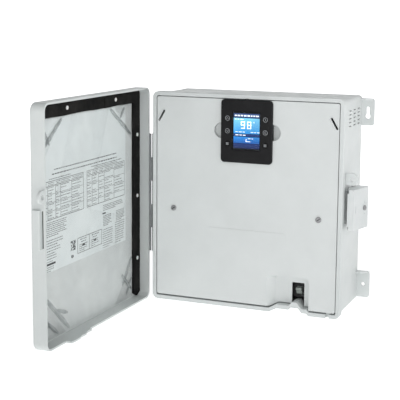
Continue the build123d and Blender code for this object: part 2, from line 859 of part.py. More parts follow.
def make_latch_lever():
    """Rocker lever: outer plate, front lip that hooks the door, and two side cheeks."""
    front_corner, rear_corner, tail = latch_places()
    lip_t = 2.4
    lip_tip_x = door_w / 2 - 1.65
    lip_h = 52.0
    guard_x = door_w / 2 + 0.8
    inner_x = half_w + 4.8
    cheek = [
        front_corner, rear_corner, tail, (inner_x + 3.5, -box_d + 58), (inner_x, -box_d + 50),
        (inner_x, -box_d + 22), (guard_x, -box_d + 17.5), (guard_x, front_corner[1]),
    ]
    with BuildPart() as lever:
        with BuildSketch(Plane.XY.offset(-latch_h / 2)):
            Polygon(*cheek, align=None)
        extrude(amount=latch_h)
        fillet(lever.edges().filter_by(Axis.Z).sort_by(Axis.X)[-1:], radius=2.5)
        hollow = [
            (front_corner[0] - latch_skin + 0.6, front_corner[1] + lip_t),
            (rear_corner[0] - latch_skin - 0.6, rear_corner[1] - 1.0),
            (tail[0] - latch_skin - 0.6, tail[1] - latch_skin),
            (inner_x - 3, tail[1] - latch_skin), (inner_x - 3, front_corner[1] + lip_t),
        ]
        with BuildSketch(Plane.XY.offset(-latch_h / 2 + latch_skin)):
            Polygon(*hollow, align=None)
        extrude(amount=latch_h - 2 * latch_skin, mode=Mode.SUBTRACT)
        with BuildSketch(Plane.XY.offset(-lip_h / 2)):
            Polygon(
                (lip_tip_x, front_corner[1] + 0.3), (guard_x + 1, front_corner[1]),
                (guard_x + 1, front_corner[1] + lip_t), (lip_tip_x, front_corner[1] + lip_t), align=None,
            )
        extrude(amount=lip_h)
        with BuildSketch(Plane.XY.offset(-latch_h / 2 - 1)):
            with Locations((latch_x, latch_y)):
                Circle(latch_pin_r + run_gap)
        extrude(amount=latch_h + 2, mode=Mode.SUBTRACT)
        # grip slot, stud hole and two tiny moulding holes in the sloping face
        with BuildSketch(latch_face_plane()):
            with Locations((7.5, 0)):
                SlotOverall(11, 1.5, rotation=90)
            with Locations((34, 0)):
                Circle(2.1)
            with Locations((34, 9), (34, -9)):
                Circle(0.9)
        extrude(amount=-latch_skin - 2, mode=Mode.SUBTRACT)
    return lever.part


def make_latch_stud():
    """Round stud on the lever's face with a slot across it."""
    with BuildPart() as stud:
        with BuildSketch(latch_face_plane()):
            with Locations((34, 0)):
                Circle(4.0)
        extrude(amount=1.6)
        with BuildSketch(latch_face_plane()):
            with Locations((34, 0)):
                Circle(2.0)
        extrude(amount=-latch_skin - 1.5)
        with BuildSketch(latch_face_plane().offset(1.0)):
            with Locations((34, 0)):
                Rectangle(5.4, 1.0, rotation=30)
        extrude(amount=1.0, mode=Mode.SUBTRACT)
    return stud.part


def make_latch_pin():
    """Latch pin with a flat head at each end."""
    half = latch_h / 2
    with BuildPart() as pin:
        with BuildSketch(Plane.XY.offset(-half - 0.5)):
            with Locations((latch_x, latch_y)):
                Circle(latch_pin_r)
        extrude(amount=latch_h + 1)
        for end in (-half - 1.4, half + 0.2):
            with BuildSketch(Plane.XY.offset(end)):
                with Locations((latch_x, latch_y)):
                    Circle(latch_pin_r + 1.2)
            extrude(amount=1.2)
    return pin.part


def make_latch_detent():
    """Bowed strip on the bracket that the lever's cheeks snap past."""
    strip_t = 0.8
    low_x = half_w + 2.0
    with BuildPart() as strip:
        with BuildSketch(Plane.XY.offset(-9)):
            with BuildLine():
                rise = ThreePointArc(
                    (low_x, latch_y + 5), (low_x + 2.4, latch_y + 10), (low_x, latch_y + 15),
                )
                ThreePointArc(
                    (low_x, latch_y + 5 + strip_t), (low_x + 2.4 - strip_t, latch_y + 10),
                    (low_x, latch_y + 15 - strip_t),
                )
                Line(rise @ 0, (low_x, latch_y + 5 + strip_t))
                Line(rise @ 1, (low_x, latch_y + 15 - strip_t))
            make_face()
        extrude(amount=18)
    return strip.part


# ---- electrics ----
def board_corner_points():
    """Places of the six board standoffs."""
    return [
        (board_x + side * (board_w / 2 - 6), board_z + step * (board_h / 2 - 6))
        for side in (-1, 1) for step in (-1, 0, 1)
    ]


def make_board():
    """Main circuit board, cut round the left panel post and drilled at the standoffs."""
    with BuildPart() as board:
        with BuildSketch(front(board_depth)):
            with Locations((board_x, board_z)):
                RectangleRounded(board_w, board_h, 3)
            with Locations((-panel_screw_x, panel_screw_z)):
                Circle(6.5, mode=Mode.SUBTRACT)
            with Locations(*board_corner_points()):
                Circle(1.6, mode=Mode.SUBTRACT)
        extrude(amount=board_t)
    return board.part


def block_row(count, pitch, x, z, width, height, depth, rise):
    """Row of equal blocks along X on a plane at a depth."""
    with BuildPart() as row:
        with BuildSketch(front(depth)):
            with Locations((x, z)):
                with GridLocations(pitch, 1, count, 1):
                    Rectangle(width, height)
        extrude(amount=rise)
    return row.part


def make_relays():
    """Power relays in a row with rounded cases."""
    count = int((board_w - 46) / relay_pitch)
    with BuildPart() as cases:
        add(block_row(count, relay_pitch, board_x + 12, board_z - board_h / 2 + 52, 28, 22, board_face, 18))
        fillet(cases.edges().filter_by(Axis.Y), radius=1.5)
    return cases.part


def make_terminals():
    """Screw terminal strips along the board's lower edge, with wire mouths below."""
    count = int((board_w - 18) / terminal_pitch)
    pitch = terminal_pitch
    z = board_z - board_h / 2 + 14
    with BuildPart() as row:
        add(block_row(count, pitch, board_x, z, 11.4, 16, board_face, 15))
        with BuildSketch(Plane.XY.offset(z - 8)):
            with Locations((board_x, -board_face - 6)):
                with GridLocations(pitch, 1, count, 1):
                    Rectangle(7, 6)
        extrude(amount=8, mode=Mode.SUBTRACT)
        with BuildSketch(front(board_face + 15)):
            with Locations((board_x, z + 1)):
                with GridLocations(pitch, 1, count, 1):
                    Circle(3.0)
        extrude(amount=-3, mode=Mode.SUBTRACT)
    first_x = board_x - pitch * (count - 1) / 2
    screws = [(first_x + pitch * i, z + 1) for i in range(count)]
    return row.part, screws


def make_transformer():
    """Mains transformer: laminated core with feet, and the winding through its window."""
    x = -half_w + 68.7
    z = half_h - 61.4
    core_w = 72.0
    core_h = 60.0
    core_t = 34.0
    coil_t = 52.0
    with BuildPart() as core:
        with BuildSketch(front(wall + 9)):
            with Locations((x, z)):
                Rectangle(core_w, core_h)
            with Locations((x - 18, z), (x + 18, z)):
                Rectangle(12, core_h - 24, mode=Mode.SUBTRACT)
        extrude(amount=core_t)
        with BuildSketch(front(wall)):
            with Locations((x, z + core_h / 2 + 4), (x, z - core_h / 2 - 4)):
                Rectangle(core_w, 12)
        extrude(amount=2)
        with BuildSketch(front(wall)):
            with Locations((x, z + core_h / 2 - 1), (x, z - core_h / 2 + 1)):
                Rectangle(core_w, 2)
        extrude(amount=9)
    with BuildPart() as coil:
        with BuildSketch(front(wall + 9 + core_t / 2 - coil_t / 2 + 2)):
            with Locations((x, z)):
                RectangleRounded(47, core_h - 25, 4)
                Rectangle(24.6, core_h - 23, mode=Mode.SUBTRACT)
        extrude(amount=coil_t - 4)
    return core.part, coil.part


def make_breaker():
    """Breaker case with a slot for its toggle, and the toggle on stub axles."""
    body_w = 24.0
    low_z = -half_h + 19.4
    body_h = 78.0
    back = 22.0
    face = pocket_floor - 9.5
    pivot_z = window_top - half_h - 14.5
    pivot_y = -(face - 3)
    hub_r = 7.0
    hub_w = 9.0
    with BuildPart() as body:
        with BuildSketch(front(back)):
            with Locations((window_x, low_z + body_h / 2)):
                Rectangle(body_w, body_h)
        extrude(amount=face - back)
        chamfer(body.faces().sort_by(Axis.Y)[0].edges(), length=1.2)
        with BuildSketch(Plane.YZ.offset(window_x - hub_w / 2 - 0.5)):
            with Locations((pivot_y, pivot_z)):
                Circle(hub_r + 0.6)
        extrude(amount=hub_w + 1, mode=Mode.SUBTRACT)
        with BuildSketch(Plane.YZ.offset(window_x - hub_w / 2 - 2.1)):
            with Locations((pivot_y, pivot_z)):
                Circle(1.5 + run_gap)
        extrude(amount=hub_w + 4.2, mode=Mode.SUBTRACT)
        # clamp mouths top and bottom
        for end in (low_z - 0.01, low_z + body_h - 8):
            with BuildSketch(Plane.XY.offset(end)):
                with Locations((window_x, -face + 30)):
                    Rectangle(12, 10)
            extrude(amount=8.02, mode=Mode.SUBTRACT)
    with BuildPart() as toggle:
        with BuildSketch(Plane.YZ.offset(window_x - hub_w / 2)):
            with Locations((pivot_y, pivot_z)):
                Circle(hub_r)
            Polygon(
                (pivot_y - 1, pivot_z - 4), (pivot_y - 11.2, pivot_z + 2.0), (pivot_y - 10.4, pivot_z + 5.2),
                (pivot_y + 1, pivot_z + 5), align=None,
            )
        extrude(amount=hub_w)
        with BuildSketch(Plane.YZ.offset(window_x - hub_w / 2 - 2)):
            with Locations((pivot_y, pivot_z)):
                Circle(1.5)
        extrude(amount=hub_w + 4)
    with BuildPart() as rail:
        with BuildSketch(Plane.YZ.offset(window_x - 30)):
            rail_z = low_z + body_h / 2
            with Locations((-wall - 1, rail_z)):
                Rectangle(2, 25)
            for side in (-1, 1):
                with Locations((-(wall + back) / 2, rail_z + side * 11.5)):
                    Rectangle(back - wall, 2)
                with Locations((-back + 0.6, rail_z + side * 15)):
                    Rectangle(1.2, 9)
        extrude(amount=60)
    return body.part, toggle.part, rail.part


def make_ribbon(start_depth):
    """Flat cable from the display's board back and down to the main board."""
    half = 0.5
    top_z = display_z - 32
    low_z = board_z + board_h / 2 - 12
    plug_d = 6.5
    y0 = -(start_depth - plug_d) + half
    y1 = -(board_face + plug_d + 2 + half)
    with BuildPart() as cable:
        with BuildSketch(Plane.YZ.offset(display_x - 14)):
            with BuildLine():
                route = FilletPolyline(
                    (y0, top_z), (y0 + 14, top_z), (y0 + 30, top_z - 26), (y1 - 14, low_z + 16),
                    (y1, low_z + 10), (y1, low_z), radius=5.0,
                )
                offset(route, amount=half, side=Side.BOTH)
            make_face()
        extrude(amount=28)
    with BuildPart() as plugs:
        for depth, z, rise in ((start_depth - plug_d, top_z, plug_d), (board_face, low_z, plug_d + 2)):
            with BuildSketch(front(depth)):
                with Locations((display_x, z)):
                    Rectangle(34, 7)
            extrude(amount=rise)
    return cable.part, plugs.part


def build_all():
    """Model every piece and write one STEP for each node."""
    os.makedirs("parts", exist_ok=True)
    save(make_shell(), "enclosure_shell")
    save(make_panel(), "inner_panel")
    save(make_panel_screw(-panel_screw_x), "panel_screw_left")
    save(make_panel_screw(panel_screw_x), "panel_screw_right")

    save(make_display_housing(), "display_housing")
    for number, point in enumerate(key_points(), start=1):
        save(make_key(point), f"key_{number}")
    display_back = make_display_inside()

    save_on_door(make_door_shell(), "door_shell")
    save_on_door(make_gasket(), "door_gasket")
    save_on_door(make_rivets(), "gasket_rivets")
    card, pouch, corners = make_sheet()
    save_on_door(card, "wiring_card")
    save_on_door(pouch, "card_pouch")
    save_on_door(corners, "pouch_corners")

    save(make_box_leaf(), "hinge_box_leaf")
    save_on_door(make_door_leaf(), "hinge_door_leaf")
    save(make_hinge_pin(), "hinge_pin")
    save(make_side_screws(-half_w - hinge_leaf_t, box_screw_y, hinge_leaf_t + wall), "hinge_box_screws")
    door_reach = hinge_leaf_t + door_wall - 0.8
    save_on_door(make_side_screws(-door_w / 2 - hinge_leaf_t, door_screw_y, door_reach), "hinge_door_screws")

    save(make_latch_base(), "latch_base")
    save(make_latch_pin(), "latch_pin")
    save(make_latch_detent(), "latch_detent")
    save_on_latch(make_latch_lever(), "latch_lever")
    save_on_latch(make_latch_stud(), "latch_stud")

    save(make_board(), "main_board")
    save(studs(board_corner_points(), 3.5, wall, standoff_h), "board_standoffs")
    save(studs(board_corner_points(), 1.5, board_depth, board_t, 3.0, 1.6), "board_screws")
    save(make_relays(), "relays")
    terminals, terminal_spots = make_terminals()
    save(terminals, "terminal_blocks")
    save(studs(terminal_spots, 2.6, board_face + 12, 1.6), "terminal_screws")
    core, coil = make_transformer()
    save(core, "transformer_core")
    save(coil, "transformer_coil")
    chip = slab(board_left + board_w - 63, board_z + 30, 24, 24, board_face, 2.2)
    save(chip, "processor")
    cap_spots = [(board_left + 38 + 21 * i, board_z + board_h / 2 - 34) for i in range(4)]
    save(studs(cap_spots, 8, board_face, 25), "capacitors")
    fuse_spots = [(board_left + 53 + 30 * i, board_z + 10) for i in range(2)]
    save(studs(fuse_spots, 6, board_face, 22, 7.5, 3), "fuse_holders")

    body, toggle, rail = make_breaker()
    save(body, "breaker_body")
    save(toggle, "breaker_toggle")
    save(rail, "breaker_rail")
    ribbon, plugs = make_ribbon(display_back)
    save(ribbon, "ribbon_cable")
    save(plugs, "ribbon_plugs")
    bar_x = half_w - 22
    bar_z = -10 - box_h / 8
    bar = slab(bar_x, bar_z, 12, 70, wall + 8, 8)
    save(bar, "ground_bar")
    bar_spots = [(bar_x, bar_z + 10 * i) for i in (0, 1, 2)]
    bar_feet = [(bar_x, bar_z + step * 28) for step in (-1, 1)]
    save(studs(bar_feet, 4, wall, 8), "ground_bar_feet")
    save(studs(bar_spots, 2.4, wall + 16, 1.6), "ground_bar_screws")


build_all()
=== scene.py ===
"""Looks for a wall-mounted pool control enclosure with its door swung open.

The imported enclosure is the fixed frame. Finishes are dressed onto its nodes, and the soft and printed
pieces are modelled here: the foam gasket, the clear pouch over the wiring card, the printing on the
card, the lit screen and the marks on the keys.
"""

import json
import logging
import math
import random
from dataclasses import dataclass, field
from enum import Enum

import bmesh
import bpy
from mathutils import Matrix, Vector


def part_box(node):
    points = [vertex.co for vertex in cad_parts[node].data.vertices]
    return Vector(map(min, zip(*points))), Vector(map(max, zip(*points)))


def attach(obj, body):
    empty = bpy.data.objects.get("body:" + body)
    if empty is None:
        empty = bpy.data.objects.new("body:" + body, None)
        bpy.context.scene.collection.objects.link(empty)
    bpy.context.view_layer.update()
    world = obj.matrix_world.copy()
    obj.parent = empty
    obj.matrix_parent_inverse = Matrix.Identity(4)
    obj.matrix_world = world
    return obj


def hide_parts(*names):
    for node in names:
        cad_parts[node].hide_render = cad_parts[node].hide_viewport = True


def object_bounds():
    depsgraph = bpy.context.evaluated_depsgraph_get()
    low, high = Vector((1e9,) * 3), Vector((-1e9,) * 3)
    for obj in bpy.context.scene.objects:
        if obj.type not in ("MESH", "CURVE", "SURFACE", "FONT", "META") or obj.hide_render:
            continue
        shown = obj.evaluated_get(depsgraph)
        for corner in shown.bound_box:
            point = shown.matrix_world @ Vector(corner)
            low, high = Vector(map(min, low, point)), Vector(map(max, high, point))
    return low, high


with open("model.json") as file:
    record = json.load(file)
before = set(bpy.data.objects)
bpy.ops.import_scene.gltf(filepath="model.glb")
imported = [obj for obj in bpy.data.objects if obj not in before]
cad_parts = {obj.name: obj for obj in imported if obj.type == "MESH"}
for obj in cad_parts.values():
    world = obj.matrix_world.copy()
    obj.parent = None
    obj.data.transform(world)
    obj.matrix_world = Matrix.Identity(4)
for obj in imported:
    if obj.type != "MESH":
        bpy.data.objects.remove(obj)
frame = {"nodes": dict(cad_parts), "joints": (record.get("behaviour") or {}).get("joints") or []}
CAD_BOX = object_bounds()

LOG = logging.getLogger("enclosure")
MM = 0.001

Colour = tuple[float, float, float]
Corners = tuple[Vector, Vector]


# ---- finishes ----
class Grain(Enum):
    """The kinds of fine surface that a finish may have."""

    PEBBLED = "pebbled"
    POLISHED = "polished"
    BRUSHED = "brushed"
    CELLULAR = "cellular"
    FIBROUS = "fibrous"
    PLATED = "plated"


@dataclass(frozen=True)
class Finish:
    """One finish of the enclosure: its colours, its gloss and its fine surface.

    Attributes:
        name: The material's name.
        colour: The main colour, linear.
        second: The colour that the slow variation runs to.
        rough: Roughness at its smoothest.
        rougher: Roughness at its dullest.
        grain: The kind of fine surface.
        grain_mm: The size of that grain.
        relief_mm: The height of that grain.
        cloud_mm: The size of the slow variation.
        metal: How metallic it is.
        coat: Weight of a clear coat.
        subsurface: Weight of light that spreads inside.
        glow: Strength of its own light.
        shine: Strength of its mirror-like part.
        sheer: Share of light that goes straight through, as through thin film.
    """

    name: str
    colour: Colour
    second: Colour
    rough: float = 0.45
    rougher: float = 0.6
    grain: Grain = Grain.PEBBLED
    grain_mm: float = 0.8
    relief_mm: float = 0.03
    cloud_mm: float = 60.0
    metal: float = 0.0
    coat: float = 0.0
    subsurface: float = 0.0
    glow: float = 0.0
    shine: float = 0.4
    sheer: float = 0.0

    def material(self) -> bpy.types.Material:
        """Returns this finish's material, making it the first time.

        Returns:
            The material.
        """
        title = f"finish_{self.name}"
        found = bpy.data.materials.get(title)
        if found is not None:
            return found
        material = bpy.data.materials.new(title)
        material.use_nodes = True
        tree = material.node_tree
        shader = tree.nodes["Principled BSDF"]
        shader.inputs["Metallic"].default_value = self.metal
        shader.inputs["Coat Weight"].default_value = self.coat
        shader.inputs["Coat Roughness"].default_value = 0.08
        shader.inputs["Subsurface Weight"].default_value = self.subsurface
        shader.inputs["Subsurface Scale"].default_value = 2 * MM
        shader.inputs["IOR"].default_value = 1.45
        shader.inputs["Specular IOR Level"].default_value = self.shine
        place = tree.nodes.new("ShaderNodeTexCoord").outputs["Object"]
        self._colour(tree, shader, place)
        self._gloss(tree, shader, place)
        self._relief(tree, shader, place)
        if self.sheer > 0:
            self._thin(tree, shader, place)
        return material

    def _colour(self, tree: bpy.types.NodeTree, shader: bpy.types.Node, place: bpy.types.NodeSocket) -> None:
        """Runs the colour slowly between the two colours.

        Args:
            tree: The material's nodes.
            shader: The surface shader.
            place: Where a point lies on the piece.
        """
        cloud = tree.nodes.new("ShaderNodeTexNoise")
        cloud.inputs["Scale"].default_value = 1 / (self.cloud_mm * MM)
        cloud.inputs["Detail"].default_value = 5.0
        cloud.inputs["Roughness"].default_value = 0.6
        tree.links.new(place, cloud.inputs["Vector"])
        ramp = tree.nodes.new("ShaderNodeValToRGB")
        ramp.color_ramp.elements[0].position = 0.35
        ramp.color_ramp.elements[0].color = (*self.colour, 1)
        ramp.color_ramp.elements[1].position = 0.68
        ramp.color_ramp.elements[1].color = (*self.second, 1)
        tree.links.new(cloud.outputs["Fac"], ramp.inputs["Fac"])
        tree.links.new(ramp.outputs["Color"], shader.inputs["Base Color"])
        if self.glow > 0:
            tree.links.new(ramp.outputs["Color"], shader.inputs["Emission Color"])
            shader.inputs["Emission Strength"].default_value = self.glow

    def _gloss(self, tree: bpy.types.NodeTree, shader: bpy.types.Node, place: bpy.types.NodeSocket) -> None:
        """Lets the roughness drift, as handled and moulded faces do.

        Args:
            tree: The material's nodes.
            shader: The surface shader.
            place: Where a point lies on the piece.
        """
        smear = tree.nodes.new("ShaderNodeTexNoise")
        smear.inputs["Scale"].default_value = 1 / (self.cloud_mm * 0.3 * MM)
        smear.inputs["Detail"].default_value = 4.0
        spread = tree.nodes.new("ShaderNodeMapRange")
        spread.inputs["From Min"].default_value = 0.35
        spread.inputs["From Max"].default_value = 0.65
        spread.inputs["To Min"].default_value = self.rough
        spread.inputs["To Max"].default_value = self.rougher
        tree.links.new(place, smear.inputs["Vector"])
        tree.links.new(smear.outputs["Fac"], spread.inputs["Value"])
        tree.links.new(spread.outputs["Result"], shader.inputs["Roughness"])

    def _thin(self, tree: bpy.types.NodeTree, shader: bpy.types.Node, place: bpy.types.NodeSocket) -> None:
        """Lets most of the light straight through, unevenly.

        Args:
            tree: The material's nodes.
            shader: The surface shader.
            place: Where a point lies on the piece.
        """
        haze = tree.nodes.new("ShaderNodeTexNoise")
        haze.inputs["Scale"].default_value = 1 / (self.cloud_mm * MM)
        haze.inputs["Detail"].default_value = 4.0
        spread = tree.nodes.new("ShaderNodeMapRange")
        spread.inputs["From Min"].default_value = 0.35
        spread.inputs["From Max"].default_value = 0.65
        spread.inputs["To Min"].default_value = min(0.985, self.sheer + 0.05)
        spread.inputs["To Max"].default_value = self.sheer - 0.05
        blend = tree.nodes.new("ShaderNodeMixShader")
        through = tree.nodes.new("ShaderNodeBsdfTransparent")
        tree.links.new(place, haze.inputs["Vector"])
        tree.links.new(haze.outputs["Fac"], spread.inputs["Value"])
        tree.links.new(spread.outputs["Result"], blend.inputs["Fac"])
        tree.links.new(shader.outputs["BSDF"], blend.inputs[1])
        tree.links.new(through.outputs["BSDF"], blend.inputs[2])
        tree.links.new(blend.outputs["Shader"], tree.nodes["Material Output"].inputs["Surface"])

    def _relief(self, tree: bpy.types.NodeTree, shader: bpy.types.Node, place: bpy.types.NodeSocket) -> None:
        """Gives the finish its fine surface.

        Args:
            tree: The material's nodes.
            shader: The surface shader.
            place: Where a point lies on the piece.
        """
        stretch = tree.nodes.new("ShaderNodeMapping")
        stretch.inputs["Scale"].default_value = {
            Grain.BRUSHED: (1.0, 1.0, 0.04),
            Grain.FIBROUS: (1.0, 0.25, 1.0),
        }.get(self.grain, (1.0, 1.0, 1.0))
        tree.links.new(place, stretch.inputs["Vector"])
        if self.grain in (Grain.CELLULAR, Grain.PEBBLED):
            cells = tree.nodes.new("ShaderNodeTexVoronoi")
            cells.feature = "SMOOTH_F1"
            cells.inputs["Scale"].default_value = 1 / (self.grain_mm * MM)
            cells.inputs["Smoothness"].default_value = 0.6
            height = cells.outputs["Distance"]
        else:
            cells = tree.nodes.new("ShaderNodeTexNoise")
            cells.inputs["Scale"].default_value = 1 / (self.grain_mm * MM)
            cells.inputs["Detail"].default_value = 3.0
            height = cells.outputs["Fac"]
        bump = tree.nodes.new("ShaderNodeBump")
        bump.inputs["Strength"].default_value = 0.6
        bump.inputs["Distance"].default_value = self.relief_mm * MM
        tree.links.new(stretch.outputs["Vector"], cells.inputs["Vector"])
        tree.links.new(height, bump.inputs["Height"])
        tree.links.new(bump.outputs["Normal"], shader.inputs["Normal"])


@dataclass(frozen=True)
class ScreenFinish:
    """A lit part of the screen, whose light runs from a lower to an upper colour.

    Attributes:
        name: The material's name.
        low: The colour at the bottom.
        high: The colour at the top.
        bottom: Height of the bottom, in metres.
        top: Height of the top, in metres.
        glow: Strength of the light.
    """

    name: str
    low: Colour
    high: Colour
    bottom: float
    top: float
    glow: float = 0.7

    def material(self) -> bpy.types.Material:
        """Returns the lit material.

        Returns:
            The material.
        """
        material = bpy.data.materials.new(f"finish_{self.name}")
        material.use_nodes = True
        tree = material.node_tree
        shader = tree.nodes["Principled BSDF"]
        shader.inputs["Roughness"].default_value = 0.4
        shader.inputs["Emission Strength"].default_value = self.glow
        place = tree.nodes.new("ShaderNodeTexCoord")
        split = tree.nodes.new("ShaderNodeSeparateXYZ")
        spread = tree.nodes.new("ShaderNodeMapRange")
        spread.inputs["From Min"].default_value = self.bottom
        spread.inputs["From Max"].default_value = self.top
        ramp = tree.nodes.new("ShaderNodeValToRGB")
        ramp.color_ramp.elements[0].color = (*self.low, 1)
        ramp.color_ramp.elements[1].color = (*self.high, 1)
        tree.links.new(place.outputs["Object"], split.inputs["Vector"])
        tree.links.new(split.outputs["Z"], spread.inputs["Value"])
        tree.links.new(spread.outputs["Result"], ramp.inputs["Fac"])
        tree.links.new(ramp.outputs["Color"], shader.inputs["Base Color"])
        tree.links.new(ramp.outputs["Color"], shader.inputs["Emission Color"])
        return material


SHELL = Finish(
    "light_grey_moulding", (0.66, 0.69, 0.685), (0.70, 0.725, 0.72), 0.42, 0.55, Grain.PEBBLED, 0.9, 0.02
)
PANEL = Finish(
    "light_grey_panel", (0.69, 0.715, 0.71), (0.725, 0.75, 0.745), 0.38, 0.5, Grain.PEBBLED, 1.1, 0.015
)
DOOR = Finish(
    "light_grey_door", (0.63, 0.66, 0.655), (0.67, 0.70, 0.69), 0.42, 0.56, Grain.PEBBLED, 0.9, 0.02
)
LATCH = Finish(
    "light_grey_latch", (0.66, 0.69, 0.69), (0.71, 0.73, 0.73), 0.32, 0.45, Grain.PEBBLED, 1.2, 0.012, 30.0
)
FOAM = Finish(
    "black_foam", (0.010, 0.010, 0.010), (0.024, 0.023, 0.022),
    0.85, 0.97, Grain.CELLULAR, 0.7, 0.12, 25.0, shine=0.1
)
RIVET = Finish(
    "white_nylon", (0.78, 0.78, 0.77), (0.86, 0.86, 0.85),
    0.3, 0.4, Grain.POLISHED, 2.0, 0.01, 8.0, subsurface=0.1
)
CARD = Finish(
    "coated_card", (0.74, 0.79, 0.79), (0.78, 0.825, 0.82), 0.35, 0.5, Grain.FIBROUS, 0.5, 0.01, 90.0
)
FILM = Finish(
    "clear_film", (0.66, 0.70, 0.70), (0.76, 0.79, 0.79),
    0.2, 0.35, Grain.POLISHED, 22.0, 0.3, 50.0, sheer=0.955
)
# Grey, less clear film for the crease bands: painted shade of the folds.
CREASE_SHADE = Finish(
    "crease_painted_shade_film", (0.46, 0.50, 0.50), (0.72, 0.76, 0.76),
    0.15, 0.3, Grain.POLISHED, 7.0, 0.4, 14.0, sheer=0.5
)
# Dark ink of the card's printing; the same finish is laid in the panel screws' slots as painted shade.
INK_AND_SLOT_SHADE = Finish(
    "dark_ink_and_slot_shade", (0.012, 0.013, 0.015), (0.03, 0.032, 0.035), 0.4, 0.5, Grain.FIBROUS, 0.3, 0.004, 6.0
)
SATIN_BLACK = Finish(
    "satin_black", (0.006, 0.006, 0.007), (0.011, 0.011, 0.012),
    0.28, 0.4, Grain.PEBBLED, 0.35, 0.01, 30.0, shine=0.25
)
KEY_BLACK = Finish(
    "key_black", (0.006, 0.006, 0.007), (0.012, 0.012, 0.013),
    0.45, 0.6, Grain.PEBBLED, 0.3, 0.01, 12.0, shine=0.15
)
KEY_MARK = Finish(
    "key_marking", (0.42, 0.44, 0.46), (0.52, 0.54, 0.56), 0.4, 0.5, Grain.POLISHED, 0.5, 0.003, 5.0
)
WINDOW = Finish(
    "screen_window", (0.02, 0.02, 0.025), (0.03, 0.03, 0.035),
    0.05, 0.1, Grain.POLISHED, 14.0, 0.004, 40.0, sheer=0.9
)
SCREEN_BACK = Finish(
    "dark_screen", (0.003, 0.006, 0.02), (0.005, 0.01, 0.035), 0.2, 0.3, Grain.POLISHED, 3.0, 0.003, 20.0
)
HINGE = Finish(
    "grey_coated_steel", (0.27, 0.28, 0.285), (0.33, 0.34, 0.345),
    0.5, 0.62, Grain.BRUSHED, 0.4, 0.02, 20.0, 0.1
)
SCREW = Finish(
    "dull_zinc", (0.30, 0.30, 0.31), (0.40, 0.40, 0.40), 0.3, 0.45, Grain.PLATED, 0.5, 0.01, 5.0, 0.9
)
STEEL = Finish(
    "bright_zinc", (0.52, 0.52, 0.53), (0.64, 0.64, 0.63), 0.22, 0.4, Grain.PLATED, 0.5, 0.01, 6.0, 1.0
)
MASK = Finish(
    "green_mask", (0.015, 0.11, 0.045), (0.03, 0.17, 0.07),
    0.25, 0.4, Grain.POLISHED, 1.2, 0.02, 14.0, coat=0.4
)
CASE = Finish(
    "dark_case", (0.015, 0.015, 0.018), (0.03, 0.03, 0.034), 0.35, 0.5, Grain.PEBBLED, 0.5, 0.015, 12.0
)
TERMINAL = Finish(
    "green_terminal", (0.02, 0.20, 0.09), (0.035, 0.27, 0.12), 0.4, 0.55, Grain.PEBBLED, 0.6, 0.015, 14.0
)
BRASS = Finish(
    "plain_brass", (0.60, 0.42, 0.14), (0.72, 0.53, 0.22), 0.25, 0.42, Grain.BRUSHED, 0.4, 0.015, 8.0, 1.0
)
CORE = Finish(
    "varnished_laminations", (0.06, 0.055, 0.05), (0.11, 0.10, 0.09),
    0.4, 0.6, Grain.BRUSHED, 0.6, 0.05, 14.0, 0.6
)
TAPE = Finish(
    "yellow_tape", (0.62, 0.40, 0.06), (0.72, 0.50, 0.10), 0.3, 0.45, Grain.FIBROUS, 1.5, 0.05, 12.0
)
SLEEVE = Finish(
    "blue_sleeve", (0.01, 0.02, 0.09), (0.02, 0.035, 0.14),
    0.2, 0.35, Grain.POLISHED, 1.0, 0.01, 8.0, coat=0.3
)
BREAKER = Finish(
    "breaker_black", (0.01, 0.01, 0.011), (0.022, 0.022, 0.024), 0.45, 0.6, Grain.PEBBLED, 0.5, 0.02, 12.0
)
TOGGLE = Finish(
    "toggle_grey", (0.26, 0.29, 0.27), (0.33, 0.36, 0.34), 0.35, 0.5, Grain.PEBBLED, 0.4, 0.01, 8.0
)
RIBBON = Finish(
    "grey_ribbon", (0.33, 0.34, 0.36), (0.42, 0.43, 0.45), 0.4, 0.55, Grain.BRUSHED, 1.0, 0.04, 10.0
)
WHITE_LIGHT = Finish(
    "white_light", (0.85, 0.92, 1.0), (0.95, 0.98, 1.0), 0.4, 0.5, Grain.POLISHED, 1.0, 0.001, 4.0, glow=1.0
)

NODE_FINISHES: dict[str, Finish] = {
    "enclosure_shell": SHELL,
    "inner_panel": PANEL,
    "door_shell": DOOR,
    "latch_lever": LATCH,
    "latch_base": LATCH,
    "gasket_rivets": RIVET,
    "wiring_card": CARD,
    "display_housing": SATIN_BLACK,
    "display_window": WINDOW,
    "display_screen": SCREEN_BACK,
    "display_board": MASK,
    "key_switches": CASE,
    "screen_cradle": CASE,
    "hinge_box_leaf": HINGE,
    "hinge_door_leaf": HINGE,
    "hinge_pin": STEEL,
    "hinge_box_screws": SCREW,
    "hinge_door_screws": SCREW,
    "latch_pin": STEEL,
    "latch_detent": STEEL,
    "latch_stud": SCREW,
    "panel_screw_left": SCREW,
    "panel_screw_right": SCREW,
    "main_board": MASK,
    "board_standoffs": BRASS,
    "board_screws": STEEL,
    "relays": CASE,
    "terminal_blocks": TERMINAL,
    "terminal_screws": STEEL,
    "transformer_core": CORE,
    "transformer_coil": TAPE,
    "processor": CASE,
    "capacitors": SLEEVE,
    "fuse_holders": CASE,
    "breaker_body": BREAKER,
    "breaker_toggle": TOGGLE,
    "breaker_rail": STEEL,
    "ribbon_cable": RIBBON,
    "ribbon_plugs": CASE,
    "ground_bar": BRASS,
    "ground_bar_feet": CASE,
    "ground_bar_screws": STEEL,
    **{f"key_{number}": KEY_BLACK for number in range(1, 7)},
}


def dress(piece: bpy.types.Object, finish: Finish | ScreenFinish) -> None:
    """Gives a whole piece one finish.

    Args:
        piece: The piece.
        finish: Its finish.
    """
    piece.data.materials.clear()
    piece.data.materials.append(finish.material())


